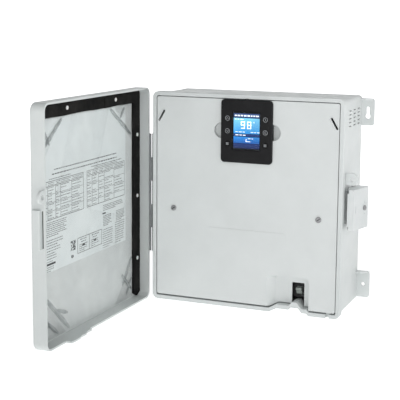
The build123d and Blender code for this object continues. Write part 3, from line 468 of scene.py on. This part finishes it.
# ---- mesh work ----
def finished(shape: bmesh.types.BMesh, name: str, smooth_deg: float = 35.0) -> bpy.types.Object:
    """Turns a bmesh into a piece at the origin.

    Args:
        shape: The modelled mesh, which is freed.
        name: The piece's name.
        smooth_deg: Edges sharper than this stay sharp.

    Returns:
        The piece.
    """
    limit = math.radians(smooth_deg)
    for face in shape.faces:
        face.smooth = True
    for edge in shape.edges:
        edge.smooth = len(edge.link_faces) == 2 and edge.calc_face_angle(0.0) < limit
    mesh = bpy.data.meshes.new(name)
    shape.to_mesh(mesh)
    shape.free()
    piece = bpy.data.objects.new(name, mesh)
    bpy.context.scene.collection.objects.link(piece)
    return piece


def add_bar(shape: bmesh.types.BMesh, centre: Vector, size: Vector, turn: float = 0.0) -> None:
    """Adds a thin bar that lies in an XZ plane to a shape.

    Args:
        shape: The shape that it joins.
        centre: Its centre.
        size: Its sizes along X, Y and Z, before the turn.
        turn: Its turn about Y, in radians.
    """
    place = Matrix.Translation(centre) @ Matrix.Rotation(turn, 4, "Y") @ Matrix.Diagonal((*size, 1.0))
    bmesh.ops.create_cube(shape, size=1.0, matrix=place)


def add_ring(
    shape: bmesh.types.BMesh, centre: Vector, radius: float, width: float, height: float, steps: int = 28
) -> None:
    """Adds a flat ring that lies in an XZ plane to a shape.

    Args:
        shape: The shape that it joins.
        centre: Its centre.
        radius: Its middle radius.
        width: Its width in the plane.
        height: Its height out of the plane.
        steps: How many facets it has.
    """
    start = bmesh.ops.create_grid(
        shape, x_segments=1, y_segments=1, size=0.5,
        matrix=Matrix.Translation(centre + Vector((radius, 0, 0)))
        @ Matrix.Diagonal((width, height, 1.0, 1.0)),
    )
    faces = list({face for vert in start["verts"] for face in vert.link_faces})
    bmesh.ops.spin(
        shape, geom=start["verts"] + faces + list({edge for face in faces for edge in face.edges}),
        cent=centre, axis=(0, 1, 0), angle=2 * math.pi, steps=steps, use_merge=True,
    )


def tidy_normals(shape: bmesh.types.BMesh) -> None:
    """Merges doubles and turns all faces outwards.

    Args:
        shape: The shape to tidy.
    """
    bmesh.ops.remove_doubles(shape, verts=shape.verts, dist=1e-7)
    bmesh.ops.recalc_face_normals(shape, faces=shape.faces)


# ---- door ----
@dataclass
class Door:
    """The door's soft and printed pieces, modelled as if it were shut and then swung to rest.

    Attributes:
        joint: The door's hinge, as the frame states it.
    """

    joint: dict

    def __post_init__(self) -> None:
        """Works out the swing from shut to rest."""
        pivot = Vector(self.joint["pos_m"])
        turn = Matrix.Rotation(-math.radians(self.joint["range_deg"][1]), 4, "Z")
        self.swing = Matrix.Translation(pivot) @ turn @ Matrix.Translation(-pivot)

    def shut_box(self, node: str) -> Corners:
        """Gives a door node's corners as if the door were shut.

        Args:
            node: The CAD node.

        Returns:
            Its lowest and highest corner.
        """
        back = self.swing.inverted()
        places = [back @ vert.co for vert in frame["nodes"][node].data.vertices]
        low = Vector([min(place[axis] for place in places) for axis in range(3)])
        high = Vector([max(place[axis] for place in places) for axis in range(3)])
        return low, high

    def hang(self, piece: bpy.types.Object, slot: str) -> bpy.types.Object:
        """Swings a piece to rest and lets it ride on the door.

        Args:
            piece: The piece, modelled on the shut door.
            slot: The record's material slot; not used.

        Returns:
            The piece.
        """
        piece.data.transform(self.swing)
        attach(piece, "door")
        LOG.info("door piece %s", piece.name)
        return piece


@dataclass
class Gasket:
    """Foam gasket round the top and the sides of the door, with soft crowned edges.

    Attributes:
        door: The door that it is stuck to.
        band: Width of the band.
        edge_round: Rounding of its long edges.
        step: Length of its short stretches.
        waver: How far its edges wander.
        foot_rise: How far above its lower end the foot turns in.
    """

    door: Door
    band: float = 21.5 * MM
    edge_round: float = 1.1 * MM
    step: float = 7 * MM
    waver: float = 0.35 * MM
    foot_rise: float = 6.0 * MM

    def build(self) -> None:
        """Models the band from its outline, crowns its edges and lets them wander a little."""
        low, high = self.door.shut_box("door_gasket")
        shape = bmesh.new()
        inner_x = high.x - self.band
        inner_z = high.z - self.band
        foot_z = low.z + self.foot_rise
        housing_low, housing_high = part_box("display_housing")
        relief_l = housing_low.x - 2 * MM
        relief_r = housing_high.x + 2 * MM
        relief_z = housing_high.z + 1.5 * MM
        outline = {
            "a": (low.x, high.z), "b": (-inner_x, high.z), "c": (relief_l, high.z), "d": (relief_r, high.z),
            "e": (inner_x, high.z), "f": (high.x, high.z), "g": (high.x, inner_z),
            "h": (high.x, low.z + 5.5 * MM),
            "i": (inner_x + 11 * MM, low.z), "j": (inner_x, foot_z), "k": (inner_x, inner_z),
            "l": (relief_r, inner_z), "m": (relief_l, inner_z),
            "n": (-inner_x, inner_z), "o": (-inner_x, foot_z),
            "p": (-inner_x - 11 * MM, low.z), "q": (low.x, low.z + 5.5 * MM), "r": (low.x, inner_z),
            "s": (relief_l, relief_z), "t": (relief_r, relief_z),
        }
        sunk_y = housing_low.y - 0.3 * MM
        face = {key: shape.verts.new((x, high.y, z)) for key, (x, z) in outline.items()}
        back = {key: shape.verts.new((x, low.y + 0.3 * MM, z)) for key, (x, z) in outline.items()}
        sunk = {key: shape.verts.new((outline[key][0], sunk_y, outline[key][1])) for key in "stlm"}
        for part in ("abnr", "bcsmn", "cdts", "deklt", "efgk", "ghijk", "rnopq"):
            shape.faces.new([face[key] for key in part])
        for part in ("abnr", "bcsmn", "cdts", "deklt", "efgk", "ghijk", "rnopq", "stlm"):
            shape.faces.new([back[key] for key in reversed(part)])
        shape.faces.new([sunk[key] for key in "stlm"])
        for start, end in ("st", "tl", "ms"):
            shape.faces.new((face[start], face[end], sunk[end], sunk[start]))
        round_trip = "abcdefghijklmnopqra"
        for start, end in zip(round_trip, round_trip[1:]):
            if (start, end) == ("l", "m"):
                shape.faces.new((sunk["l"], sunk["m"], back["m"], back["l"]))
            elif end == "l":
                shape.faces.new((face["k"], face["l"], sunk["l"], back["l"], back["k"]))
            elif start == "m":
                shape.faces.new((face["m"], face["n"], back["n"], back["m"], sunk["m"]))
            else:
                shape.faces.new((face[start], face[end], back[end], back[start]))
        tidy_normals(shape)
        corner = [
            edge for edge in shape.edges
            if abs(edge.verts[0].co.x) > high.x - MM and abs(edge.verts[1].co.x) > high.x - MM
            and edge.verts[0].co.z > high.z - MM and edge.verts[1].co.z > high.z - MM
            and abs(edge.verts[0].co.y - edge.verts[1].co.y) > MM
        ]
        bmesh.ops.bevel(
            shape, geom=corner, offset=8 * MM, segments=6, profile=0.5, affect="EDGES", material=-1
        )
        lip = [
            edge for edge in shape.edges
            if edge.is_manifold and edge.calc_face_angle(0.0) > 1.0
            and min(vert.co.y for vert in edge.verts) > (low.y + high.y) / 2
        ]
        bmesh.ops.bevel(
            shape, geom=lip, offset=self.edge_round, segments=3, profile=0.5, affect="EDGES", material=-1
        )
        for axis, reach in ((2, high.z), (0, high.x)):
            cuts = int(2 * reach / self.step)
            for number in range(1, cuts):
                point = Vector((0, 0, 0))
                point[axis] = -reach + number * self.step
                normal = Vector((0, 0, 0))
                normal[axis] = 1
                geom = list(shape.verts) + list(shape.edges) + list(shape.faces)
                bmesh.ops.bisect_plane(shape, geom=geom, dist=1e-6, plane_co=point, plane_no=normal)
        self._wander(shape, low, high, inner_x, inner_z)
        piece = finished(shape, "foam_gasket", 50.0)
        dress(piece, FOAM)
        self.door.hang(piece, "gasket_foam")
        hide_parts("door_gasket")

    def _wander(
        self, shape: bmesh.types.BMesh, low: Vector, high: Vector, inner_x: float, inner_z: float
    ) -> None:
        """Moves the inner edges in and out, as hand-laid foam has them.

        Args:
            shape: The band.
            low: Its lowest corner.
            high: Its highest corner.
            inner_x: Where the side bands end.
            inner_z: Where the top band ends.
        """
        for vert in shape.verts:
            wave = math.sin(vert.co.z * 61) + 0.6 * math.sin(vert.co.z * 143 + vert.co.x * 20)
            if abs(vert.co.x) < inner_x + 3 * MM and vert.co.z < inner_z - 2 * MM:
                vert.co.x += self.waver * wave
            elif vert.co.z < inner_z + 3 * MM and abs(vert.co.x) < inner_x:
                vert.co.z += self.waver * (math.sin(vert.co.x * 52) + 0.5 * math.sin(vert.co.x * 131))
            if vert.co.y > (low.y + high.y) / 2:
                vert.co.y -= 0.12 * MM * (1 + math.sin(vert.co.z * 90 + vert.co.x * 70))


@dataclass
class Pouch:
    """Clear pouch over the card, with folded corners.

    Attributes:
        door: The door that it is stuck to.
        fold: Length of a folded corner's legs.
        film: Thickness of the film.
        puff: How far a folded corner stands up.
        creases: Creased bands: across and up of both ends as the card is read, and width, in millimetres.
    """

    door: Door
    fold: float = 62 * MM
    film: float = 0.25 * MM
    puff: float = 1.3 * MM
    creases: tuple[tuple[float, float, float, float, float], ...] = (
        (-84.5, 148.0, -136.0, 109.0, 8.0), (-136.0, 138.0, -119.0, 113.0, 6.0),
        (64.0, 148.5, 134.0, 102.0, 8.0),
        (112.0, 147.0, 97.0, 131.0, 6.0), (-136.0, -108.0, -69.0, -168.0, 9.0),
        (-135.0, -143.0, -101.0, -168.0, 7.0),
        (-103.0, -133.0, -73.0, -144.0, 6.0), (136.0, -104.0, 104.0, -146.0, 8.0),
        (101.0, -127.0, 135.0, -158.0, 7.0),
        (117.0, -165.0, 136.0, -139.0, 6.0),
    )

    def build(self) -> None:
        """Models the film sheet and its four folded corners."""
        low, high = self.door.shut_box("card_pouch")
        shape = bmesh.new()
        centre = Vector(((low.x + high.x) / 2, low.y + self.film, (low.z + high.z) / 2))
        size = Matrix.Diagonal(((high.x - low.x) / 2, (high.z - low.z) / 2, 1.0, 1.0))
        lie = Matrix.Translation(centre) @ Matrix.Rotation(-math.pi / 2, 4, "X") @ size
        bmesh.ops.create_grid(shape, x_segments=46, y_segments=52, size=1.0, matrix=lie)
        for vert in shape.verts:
            ripple = math.sin(vert.co.x * 27 + vert.co.z * 11) * math.sin(vert.co.z * 19 - vert.co.x * 5)
            vert.co.y += 0.1 * MM * ripple
        bmesh.ops.solidify(shape, geom=list(shape.faces), thickness=self.film)
        tidy_normals(shape)
        sheet = finished(shape, "card_pouch_film", 60.0)
        dress(sheet, FILM)
        self.door.hang(sheet, "clear_film")
        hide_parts("card_pouch")
        self._corners()

    def _corners(self) -> None:
        """Models the four folded corners: sheer triangles, and the creased bands over them, greyed as painted
        shade of the folds.
        """
        low, high = self.door.shut_box("pouch_corners")
        shape = bmesh.new()
        for side in (-1, 1):
            for end in (-1, 1):
                corner = Vector((side * high.x, high.y - 0.1 * MM, high.z if end > 0 else low.z))
                self._fold(shape, corner, -side, -end)
        bmesh.ops.solidify(shape, geom=list(shape.faces), thickness=self.film)
        tidy_normals(shape)
        piece = finished(shape, "pouch_folds", 20.0)
        dress(piece, FILM)
        self.door.hang(piece, "clear_film")
        bands = bmesh.new()
        for across, up, far_across, far_up, width in self.creases:
            start = Vector((-across * MM, high.y + 0.2 * MM, up * MM))
            end = Vector((-far_across * MM, high.y + 0.2 * MM, far_up * MM))
            self._band(bands, start, end, width * MM)
        bmesh.ops.solidify(bands, geom=list(bands.faces), thickness=self.film)
        bmesh.ops.recalc_face_normals(bands, faces=bands.faces)
        creased = finished(bands, "pouch_creases", 12.0)
        # The crease bands carry painted shade: they are greyer and less clear than the film.
        dress(creased, CREASE_SHADE)
        self.door.hang(creased, "clear_film")
        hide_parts("pouch_corners")

    def _band(self, shape: bmesh.types.BMesh, start: Vector, end: Vector, width: float) -> None:
        """Adds one creased band, peaked along its middle and pinched at its ends.

        Args:
            shape: The shape that it joins.
            start: One end of its middle line.
            end: The other end.
            width: Its width.
        """
        steps = 9
        along = (end - start).normalized()
        side = along.cross(Vector((0, 1, 0))) * width / 2
        rows = []
        for number in range(steps + 1):
            share = number / steps
            wide = 0.55 + 0.45 * math.sin(math.pi * share) + 0.12 * math.sin(11 * share)
            peak = Vector((0, self.puff * (0.35 + 0.5 * math.sin(math.pi * share)), 0))
            middle = start.lerp(end, share)
            rows.append([
                shape.verts.new(middle - side * wide), shape.verts.new(middle + peak + side * 0.15),
                shape.verts.new(middle + side * wide),
            ])
        for near, far in zip(rows, rows[1:]):
            shape.faces.new((near[0], near[1], far[1], far[0]))
            shape.faces.new((near[1], near[2], far[2], far[1]))

    def _fold(self, shape: bmesh.types.BMesh, corner: Vector, along_x: int, along_z: int) -> None:
        """Adds one folded corner.

        Args:
            shape: The shape that it joins.
            corner: The pouch's corner.
            along_x: Which way its level leg runs.
            along_z: Which way its upright leg runs.
        """
        legs = (Vector((along_x * self.fold, 0, 0)), Vector((0, 0, along_z * self.fold)))
        ends = [shape.verts.new(corner), shape.verts.new(corner + legs[0]), shape.verts.new(corner + legs[1])]
        face = shape.faces.new(ends)
        bmesh.ops.subdivide_edges(shape, edges=list(face.edges), cuts=11, use_grid_fill=True)
        near = [vert for vert in shape.verts if (vert.co - corner).length < 1.2 * self.fold]
        for vert in near:
            across = abs(vert.co.x - corner.x) / self.fold
            down = abs(vert.co.z - corner.z) / self.fold
            reach = across + down
            crease = abs(across - 0.55 * down) + abs(0.7 - reach)
            vert.co.y += self.puff * max(0.0, 0.5 - crease) * (1.0 if reach < 0.98 else 0.2)
            vert.co.y += 0.25 * MM * math.sin(across * 17) * math.sin(down * 13) * max(0.0, 1 - reach)


@dataclass
class Printing:
    """Generic printing on the wiring card: ruled tables and rows of ink with no words in them.

    Places are on the card as it is read, in millimetres: across from the hinge line's far side, and up.

    Attributes:
        door: The door that carries the card.
        ink: Thickness of the printing.
        seed: Seed of the rows' word lengths.
    """

    door: Door
    ink: float = 0.04 * MM
    seed: int = 7
    chance: random.Random = field(init=False)
    shape: bmesh.types.BMesh = field(init=False)
    level: float = field(init=False)

    def build(self) -> None:
        """Prints the headings, the tables, the text blocks, the code block and the two diagrams."""
        self.chance = random.Random(self.seed)
        self.shape = bmesh.new()
        self.level = self.door.shut_box("wiring_card")[1].y + self.ink / 2
        self._row(-105, 85, 76.3, 2.6)
        self._row(-111, 88, 69.9, 2.6)
        self._row(-119, -57, 63.4, 2.0)
        self._row(4, 102, 65.4, 1.7)
        self._row(14, 90, 62.9, 1.4)
        self._table(-134.6, -21.0, 4.6, 60.4, 53.6, (-123.9, -102.2, -88.1, -56.2), 12)
        self._table(-10.2, 113.0, 4.6, 60.6, 53.4, (5.5, 26.0, 44.7, 77.2), 11)
        self._block(41, 110, -1.5, -9.5, 4)
        self._bar(38.5, 49.0, -14.2, 2.4)
        self._block(41, 69, -18.5, -34, 7)
        self._block(84, 113, -17.5, -32.5, 7)
        self._block(-132.5, -71, 0.5, -19.5, 8)
        self._block(-132, -77, -25.5, -33, 3)
        self._block(-132, -88, -37, -45, 3)
        self._block(-132, -97, -48.5, -56.5, 3)
        self._bar(-131.7, -104.4, -60.3, 3.0)
        self._block(-131.5, -108, -64.5, -70.5, 3)
        self._code(-61, -46.2, -53.4, -38.4, 11)
        self._code(-59, -52.4, -65.2, -59.8, 5)
        self._diagrams()
        self._block(39, 74, -40.5, -69, 9)
        self._block(80.5, 112.5, -36, -68.5, 10)
        piece = finished(self.shape, "card_printing", 30.0)
        dress(piece, INK_AND_SLOT_SHADE)
        self.door.hang(piece, "card_print")

    def _mark(self, left: float, right: float, low: float, high: float) -> None:
        """Prints one solid rectangle.

        Args:
            left: Its left side.
            right: Its right side.
            low: Its lower side.
            high: Its upper side.
        """
        centre = Vector((-(left + right) / 2 * MM, self.level, (low + high) / 2 * MM))
        add_bar(self.shape, centre, Vector(((right - left) * MM, self.ink, (high - low) * MM)))

    def _bar(self, left: float, right: float, middle: float, height: float) -> None:
        """Prints one solid bar about a middle height."""
        self._mark(left, right, middle - height / 2, middle + height / 2)

    def _row(self, left: float, right: float, middle: float, height: float) -> None:
        """Prints one row of word-long dashes.

        Args:
            left: Where the row starts.
            right: Where it ends.
            middle: Its middle height.
            height: Height of its dashes.
        """
        at = left
        while at < right - height:
            word = min(right - at, height * self.chance.uniform(0.8, 2.6))
            self._bar(at, at + word, middle, height * self.chance.uniform(0.58, 0.72))
            at += word + max(1.2, 0.8 * height)

    def _block(self, left: float, right: float, top: float, low: float, rows: int) -> None:
        """Prints a paragraph, with a short last row.

        Args:
            left: Its left side.
            right: Its right side.
            top: Middle height of its first row.
            low: Middle height of its last row.
            rows: How many rows it has.
        """
        pitch = (top - low) / max(1, rows - 1)
        for number in range(rows):
            end = right - (right - left) * self.chance.uniform(0.0, 0.12)
            if number == rows - 1:
                end = left + (right - left) * 0.6
            self._row(left, end, top - number * pitch, min(1.6, pitch * 0.6))

    def _table(
        self, left: float, right: float, low: float, top: float, header: float,
        columns: tuple[float, ...], rows: int
    ) -> None:
        """Prints a ruled table with short entries in its cells.

        Args:
            left: Its left side.
            right: Its right side.
            low: Its lower side.
            top: Its upper side.
            header: Height of the rule under its header.
            columns: Where its upright rules stand.
            rows: How many rows it has.
        """
        rule = 0.75
        uprights = [left, *columns, right]
        for x in uprights:
            self._mark(x - rule / 2, x + rule / 2, low, top if x in (left, right) else header)
        for z in (low, header, top):
            self._bar(left, right, z, rule)
        pitch = (header - low) / rows
        for number in range(rows):
            middle = header - (number + 0.5) * pitch
            if number % 3 == 2:
                self._bar(left, right, middle - pitch / 2, rule * 0.6)
            for start, end in zip(uprights, uprights[1:]):
                room = end - start - 3.0
                if self.chance.random() < 0.85:
                    self._row(start + 1.5, start + 1.5 + room * self.chance.uniform(0.5, 1.0), middle, 1.5)
        for start, end in zip(uprights, uprights[1:]):
            self._row(start + 1.5, end - 1.5, (header + top) / 2 + 1.2, 1.5)
            self._row(start + 1.5, end - 3.0, (header + top) / 2 - 1.4, 1.5)

    def _code(self, left: float, right: float, low: float, top: float, cells: int) -> None:
        """Prints a made-up block of square cells, which holds no message.

        Args:
            left: Its left side.
            right: Its right side.
            low: Its lower side.
            top: Its upper side.
            cells: Cells along a side.
        """
        width = (right - left) / cells
        height = (top - low) / cells
        for row in range(cells):
            for column in range(cells):
                if self.chance.random() < 0.55:
                    x = left + column * width
                    z = low + row * height
                    self._mark(x, x + width * 0.98, z, z + height * 0.98)

    def _diagrams(self) -> None:
        """Prints two framed cells with rows and small symbols."""
        left, middle, right = -39.8, -4.2, 35.5
        low, top = -61.3, -38.2
        for x in (left, middle, right):
            self._mark(x - 0.5, x + 0.5, low, top)
        for z in (low, top):
            self._bar(left, right, z, 0.8)
        for start in (left, middle):
            self._row(start + 8, start + 30, top - 3.2, 2.0)
            self._row(start + 11, start + 27, top - 7.0, 1.8)
            self._block(start + 5, start + 31, top - 11, low + 3, 4)
            self._bar(start + 14, start + 22, (low + top) / 2 - 1, 2.6)


# ---- display ----
@dataclass
class Display:
    """The lit screen and the marks on the six keys.

    Attributes:
        lift: How far the lit parts stand off the screen module.
        stroke: Width of a key's marking.
        digit_w: Width of a digit.
        digit_h: Height of a digit.
        digit_stroke: Width of a digit's strokes.
    """

    lift: float = 0.05 * MM
    stroke: float = 0.55 * MM
    digit_w: float = 6.8 * MM
    digit_h: float = 11.6 * MM
    digit_stroke: float = 1.5 * MM

    def build(self) -> None:
        """Builds the screen's picture and the key marks."""
        low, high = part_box("display_screen")
        self.front = low.y - self.lift / 2
        self.left = low.x
        self.width = high.x - low.x
        self.low = low.z
        self.height = high.z - low.z
        self._panels()
        self._reading()
        self._small_marks()
        self._key_marks()

    def _at(self, across: float, up: float, out: float = 0.0) -> Vector:
        """Gives a point of the screen from its shares across and up."""
        return Vector((self.left + across * self.width, self.front - out, self.low + up * self.height))

    def _lit(self, name: str, shape: bmesh.types.BMesh, finish: Finish | ScreenFinish) -> None:
        """Finishes a lit piece and lets it ride on the enclosure.

        Args:
            name: The piece's name.
            shape: Its mesh.
            finish: Its finish.
        """
        tidy_normals(shape)
        piece = finished(shape, name)
        dress(piece, finish)
        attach(piece, "enclosure")
        LOG.info("screen piece %s", name)

    def _panels(self) -> None:
        """Builds the coloured bands of the screen, from the header down."""
        bands = (
            ("screen_header", 0.865, 0.975, (0.02, 0.05, 0.16), (0.05, 0.10, 0.26)),
            ("screen_main", 0.43, 0.855, (0.02, 0.30, 0.78), (0.22, 0.66, 0.95)),
            ("screen_strip", 0.355, 0.42, (0.005, 0.03, 0.16), (0.01, 0.05, 0.22)),
            ("screen_lower", 0.165, 0.345, (0.01, 0.10, 0.42), (0.02, 0.26, 0.72)),
            ("screen_foot", 0.03, 0.155, (0.004, 0.02, 0.10), (0.006, 0.03, 0.16)),
        )
        for name, bottom, top, dark, bright in bands:
            shape = bmesh.new()
            centre = self._at(0.5, (bottom + top) / 2)
            size = Vector((self.width * 0.985, self.lift, self.height * (top - bottom)))
            add_bar(shape, centre, size)
            finish = ScreenFinish(name, dark, bright, self._at(0, bottom).z, self._at(0, top).z)
            self._lit(name, shape, finish)

    def _reading(self) -> None:
        """Builds the two large digits and the degree ring of the reading."""
        shape = bmesh.new()
        for place, strokes in ((0.36, "abcdfg"), (0.60, "abcdefg")):
            self._digit(shape, self._at(place, 0.665, self.lift), strokes)
        add_ring(shape, self._at(0.775, 0.745, self.lift), 0.9 * MM, 0.5 * MM, self.lift, 16)
        self._lit("screen_reading", shape, WHITE_LIGHT)

    def _digit(self, shape: bmesh.types.BMesh, centre: Vector, strokes: str) -> None:
        """Adds one seven-stroke digit.

        Args:
            shape: The shape that it joins.
            centre: The digit's centre.
            strokes: The letters of its strokes, from a at the top, clockwise, to g in the middle.
        """
        half_w = (self.digit_w - self.digit_stroke) / 2
        half_h = (self.digit_h - self.digit_stroke) / 2
        level = Vector((self.digit_w * 0.86, self.lift, self.digit_stroke))
        upright = Vector((self.digit_stroke, self.lift, self.digit_h / 2 * 0.98))
        places = {
            "a": (0, half_h, level), "b": (half_w, half_h / 2, upright), "c": (half_w, -half_h / 2, upright),
            "d": (0, -half_h, level), "e": (-half_w, -half_h / 2, upright),
            "f": (-half_w, half_h / 2, upright),
            "g": (0, 0, level),
        }
        for stroke in strokes:
            x, z, size = places[stroke]
            add_bar(shape, centre + Vector((x, 0, z)), size)

    def _small_marks(self) -> None:
        """Builds the small bright dashes of the header and the bands, and the lower band's symbol."""
        shape = bmesh.new()
        chance = random.Random(3)
        rows = (
            (0.92, 0.05, 0.95, 2.0), (0.82, 0.05, 0.36, 1.2),
            (0.475, 0.08, 0.4, 1.0), (0.475, 0.66, 0.9, 1.0),
        )
        rows += ((0.39, 0.08, 0.42, 1.2), (0.30, 0.56, 0.72, 1.0))
        for up, start, end, tall in rows:
            at = start
            while at < end:
                word = chance.uniform(0.05, 0.13)
                size = Vector((word * self.width, self.lift, tall * MM))
                add_bar(shape, self._at(at + word / 2, up, self.lift), size)
                at += word + 0.035
        base = self._at(0.52, 0.225, self.lift)
        add_bar(shape, base + Vector((-1.4 * MM, 0, 1.6 * MM)), Vector((1.2 * MM, self.lift, 4.2 * MM)), 0.2)
        add_bar(shape, base + Vector((2.2 * MM, 0, -0.4 * MM)), Vector((7.0 * MM, self.lift, 1.0 * MM)))
        self._lit("screen_marks", shape, WHITE_LIGHT)

    def _key_marks(self) -> None:
        """Builds a ring with an arrow on four keys, and three bars on the other two."""
        turns = {1: 0.0, 2: math.pi, 4: math.pi / 2, 5: -math.pi / 2}
        for number in range(1, 7):
            low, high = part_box(f"key_{number}")
            centre = Vector(((low.x + high.x) / 2, low.y - 0.02 * MM, (low.z + high.z) / 2))
            shape = bmesh.new()
            if number in turns:
                add_ring(shape, centre, 3.5 * MM, self.stroke, 0.05 * MM)
                for side in (-1, 1):
                    arm = Vector((side * 0.85 * MM, 0, 0.2 * MM))
                    arm.rotate(Matrix.Rotation(turns[number], 4, "Y"))
                    size = Vector((2.8 * MM, 0.05 * MM, self.stroke))
                    add_bar(shape, centre + arm, size, turns[number] + side * math.radians(45))
            else:
                for step in (-1, 0, 1):
                    place = centre + Vector((0, 0, step * 1.5 * MM))
                    add_bar(shape, place, Vector((4.6 * MM, 0.05 * MM, self.stroke)))
            tidy_normals(shape)
            piece = finished(shape, f"key_{number}_mark")
            dress(piece, KEY_MARK)
            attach(piece, f"key_{number}_cap")
        LOG.info("six key marks")


# ---- screw slots: painted shade ----
@dataclass
class ScrewSlotShade:
    """Painted shade: dark bars laid on the floors of the slots in the panel screws' heads, in place of the
    shade that falls in the slots.

    Attributes:
        length: Length of a slot.
        width: Its width.
        deep: How far its floor lies below the head's top.
        turn: Its turn from level.
    """

    length: float = 6.3 * MM
    width: float = 1.15 * MM
    deep: float = 0.9 * MM
    turn: float = math.radians(-35)

    def build(self) -> None:
        """Lays a bar of painted shade on the floor of both slots."""
        for side in ("left", "right"):
            low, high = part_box(f"panel_screw_{side}")
            shape = bmesh.new()
            centre = Vector(((low.x + high.x) / 2, low.y + self.deep, (low.z + high.z) / 2))
            add_bar(shape, centre, Vector((self.length, 0.1 * MM, self.width)), self.turn)
            piece = finished(shape, f"screw_slot_shade_{side}")
            # The dark ink finish paints the shade in the slot.
            dress(piece, INK_AND_SLOT_SHADE)
            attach(piece, f"screw_{side}")
            LOG.info("slot floor %s", side)


# ---- studio ----
@dataclass
class Studio:
    """Pale floor, soft light and the camera.

    Attributes:
        azimuth: The camera's angle round the enclosure, towards +X.
        elevation: Its angle above the horizon.
        roll: Its roll.
        place: Where it stands.
        lens: Its focal length, on a 36 mm frame.
        shift: How far the frame is shifted up or down, in frames.
        floor_gap: How far the floor lies below the door.
        floor_reach: How far the floor runs each way.
        wall_rise: How high the paper rises behind.
        cove_r: Size of the round between the floor and the rise.
        glow_from: Distance at which the paper starts to brighten.
        glow_to: Distance at which it is brightest.
        near_glow: The paper's own light near the enclosure.
        far_glow: Its own light far away, which keeps the background white.
    """

    azimuth: float = math.radians(22.36)
    elevation: float = math.radians(8.28)
    roll: float = math.radians(0.44)
    place: Vector = field(default_factory=lambda: Vector((0.57445, -1.70468, 0.31377)))
    lens: float = 96.66
    shift: float = -0.1
    floor_gap: float = 2 * MM
    floor_reach: float = 6.0
    wall_rise: float = 5.0
    cove_r: float = 2.5
    glow_from: float = 0.35
    glow_to: float = 1.6
    near_glow: float = 0.6
    far_glow: float = 0.95

    def build(self) -> None:
        """Sets up the floor, the lights and the camera."""
        self._floor()
        self._lights()
        self._camera()

    def _floor(self) -> None:
        """Builds a pale floor that curves up far behind."""
        level = CAD_BOX[0][2] - self.floor_gap
        shape = bmesh.new()
        low = Matrix.Translation((0, 0, level))
        bmesh.ops.create_grid(shape, x_segments=1, y_segments=1, size=self.floor_reach, matrix=low)
        back = [edge for edge in shape.edges if all(vert.co.y > 0 for vert in edge.verts)]
        wall = bmesh.ops.extrude_edge_only(shape, edges=back)
        raised = [item for item in wall["geom"] if isinstance(item, bmesh.types.BMVert)]
        bmesh.ops.translate(shape, verts=raised, vec=(0, 0, self.wall_rise))
        cove = [edge for edge in shape.edges if edge.is_manifold and abs(edge.verts[0].co.z - level) < MM]
        bmesh.ops.bevel(
            shape, geom=cove, offset=self.cove_r, segments=16, profile=0.5, affect="EDGES", material=-1
        )
        floor = finished(shape, "studio_floor", 60.0)
        material = bpy.data.materials.new("studio_paper")
        material.use_nodes = True
        shader = material.node_tree.nodes["Principled BSDF"]
        shader.inputs["Base Color"].default_value = (0.86, 0.86, 0.86, 1)
        shader.inputs["Roughness"].default_value = 0.9
        shader.inputs["Emission Color"].default_value = (1, 1, 1, 1)
        tree = material.node_tree
        place = tree.nodes.new("ShaderNodeTexCoord")
        reach = tree.nodes.new("ShaderNodeVectorMath")
        reach.operation = "LENGTH"
        spread = tree.nodes.new("ShaderNodeMapRange")
        spread.inputs["From Min"].default_value = self.glow_from
        spread.inputs["From Max"].default_value = self.glow_to
        spread.inputs["To Min"].default_value = self.near_glow
        spread.inputs["To Max"].default_value = self.far_glow
        tree.links.new(place.outputs["Object"], reach.inputs[0])
        tree.links.new(reach.outputs["Value"], spread.inputs["Value"])
        tree.links.new(spread.outputs["Result"], shader.inputs["Emission Strength"])
        floor.data.materials.append(material)

    def _lights(self) -> None:
        """Places three large soft lights and a pale world."""
        world = bpy.data.worlds.new("studio_world")
        world.use_nodes = True
        world.node_tree.nodes["Background"].inputs["Color"].default_value = (0.97, 0.99, 1.0, 1)
        world.node_tree.nodes["Background"].inputs["Strength"].default_value = 0.3
        bpy.context.scene.world = world
        lights = (
            ("key_light", (0.5, -1.05, 1.35), 0.9, 2.3),
            ("side_light", (2.2, -0.9, 0.6), 1.4, 8.5),
            ("front_light", (0.6, -2.4, 0.45), 1.6, 12.5),
        )
        for name, place, size, power in lights:
            lamp = bpy.data.lights.new(name, "AREA")
            lamp.size = size
            lamp.energy = power
            holder = bpy.data.objects.new(name, lamp)
            holder.location = place
            holder.rotation_euler = (-Vector(place)).to_track_quat("-Z", "Y").to_euler()
            holder.visible_camera = False
            bpy.context.scene.collection.objects.link(holder)

    def _camera(self) -> None:
        """Places the camera and makes it the scene's."""
        camera = bpy.data.objects.new("camera", bpy.data.cameras.new("camera"))
        bpy.context.scene.collection.objects.link(camera)
        turn = Matrix.Rotation(self.azimuth, 4, "Z") @ Matrix.Rotation(math.pi / 2 - self.elevation, 4, "X")
        camera.matrix_world = Matrix.Translation(self.place) @ turn @ Matrix.Rotation(self.roll, 4, "Z")
        camera.data.lens = self.lens
        camera.data.sensor_width = 36.0
        camera.data.shift_y = self.shift
        camera.data.clip_end = 100.0
        bpy.context.scene.camera = camera
        bpy.context.scene.view_settings.view_transform = "Standard"


def main() -> None:
    """Dresses the enclosure, builds its soft and printed pieces and sets up the studio."""
    logging.basicConfig(level=logging.INFO, format="%(name)s: %(message)s")
    for node, finish in NODE_FINISHES.items():
        dress(frame["nodes"][node], finish)
        LOG.info("node %s in %s", node, finish.name)
    hinge = next(joint for joint in frame["joints"] if joint["name"] == "door_hinge")
    door = Door(hinge)
    Gasket(door).build()
    Pouch(door).build()
    Printing(door).build()
    Display().build()
    ScrewSlotShade().build()
    Studio().build()


if __name__ == "__main__":
    main()
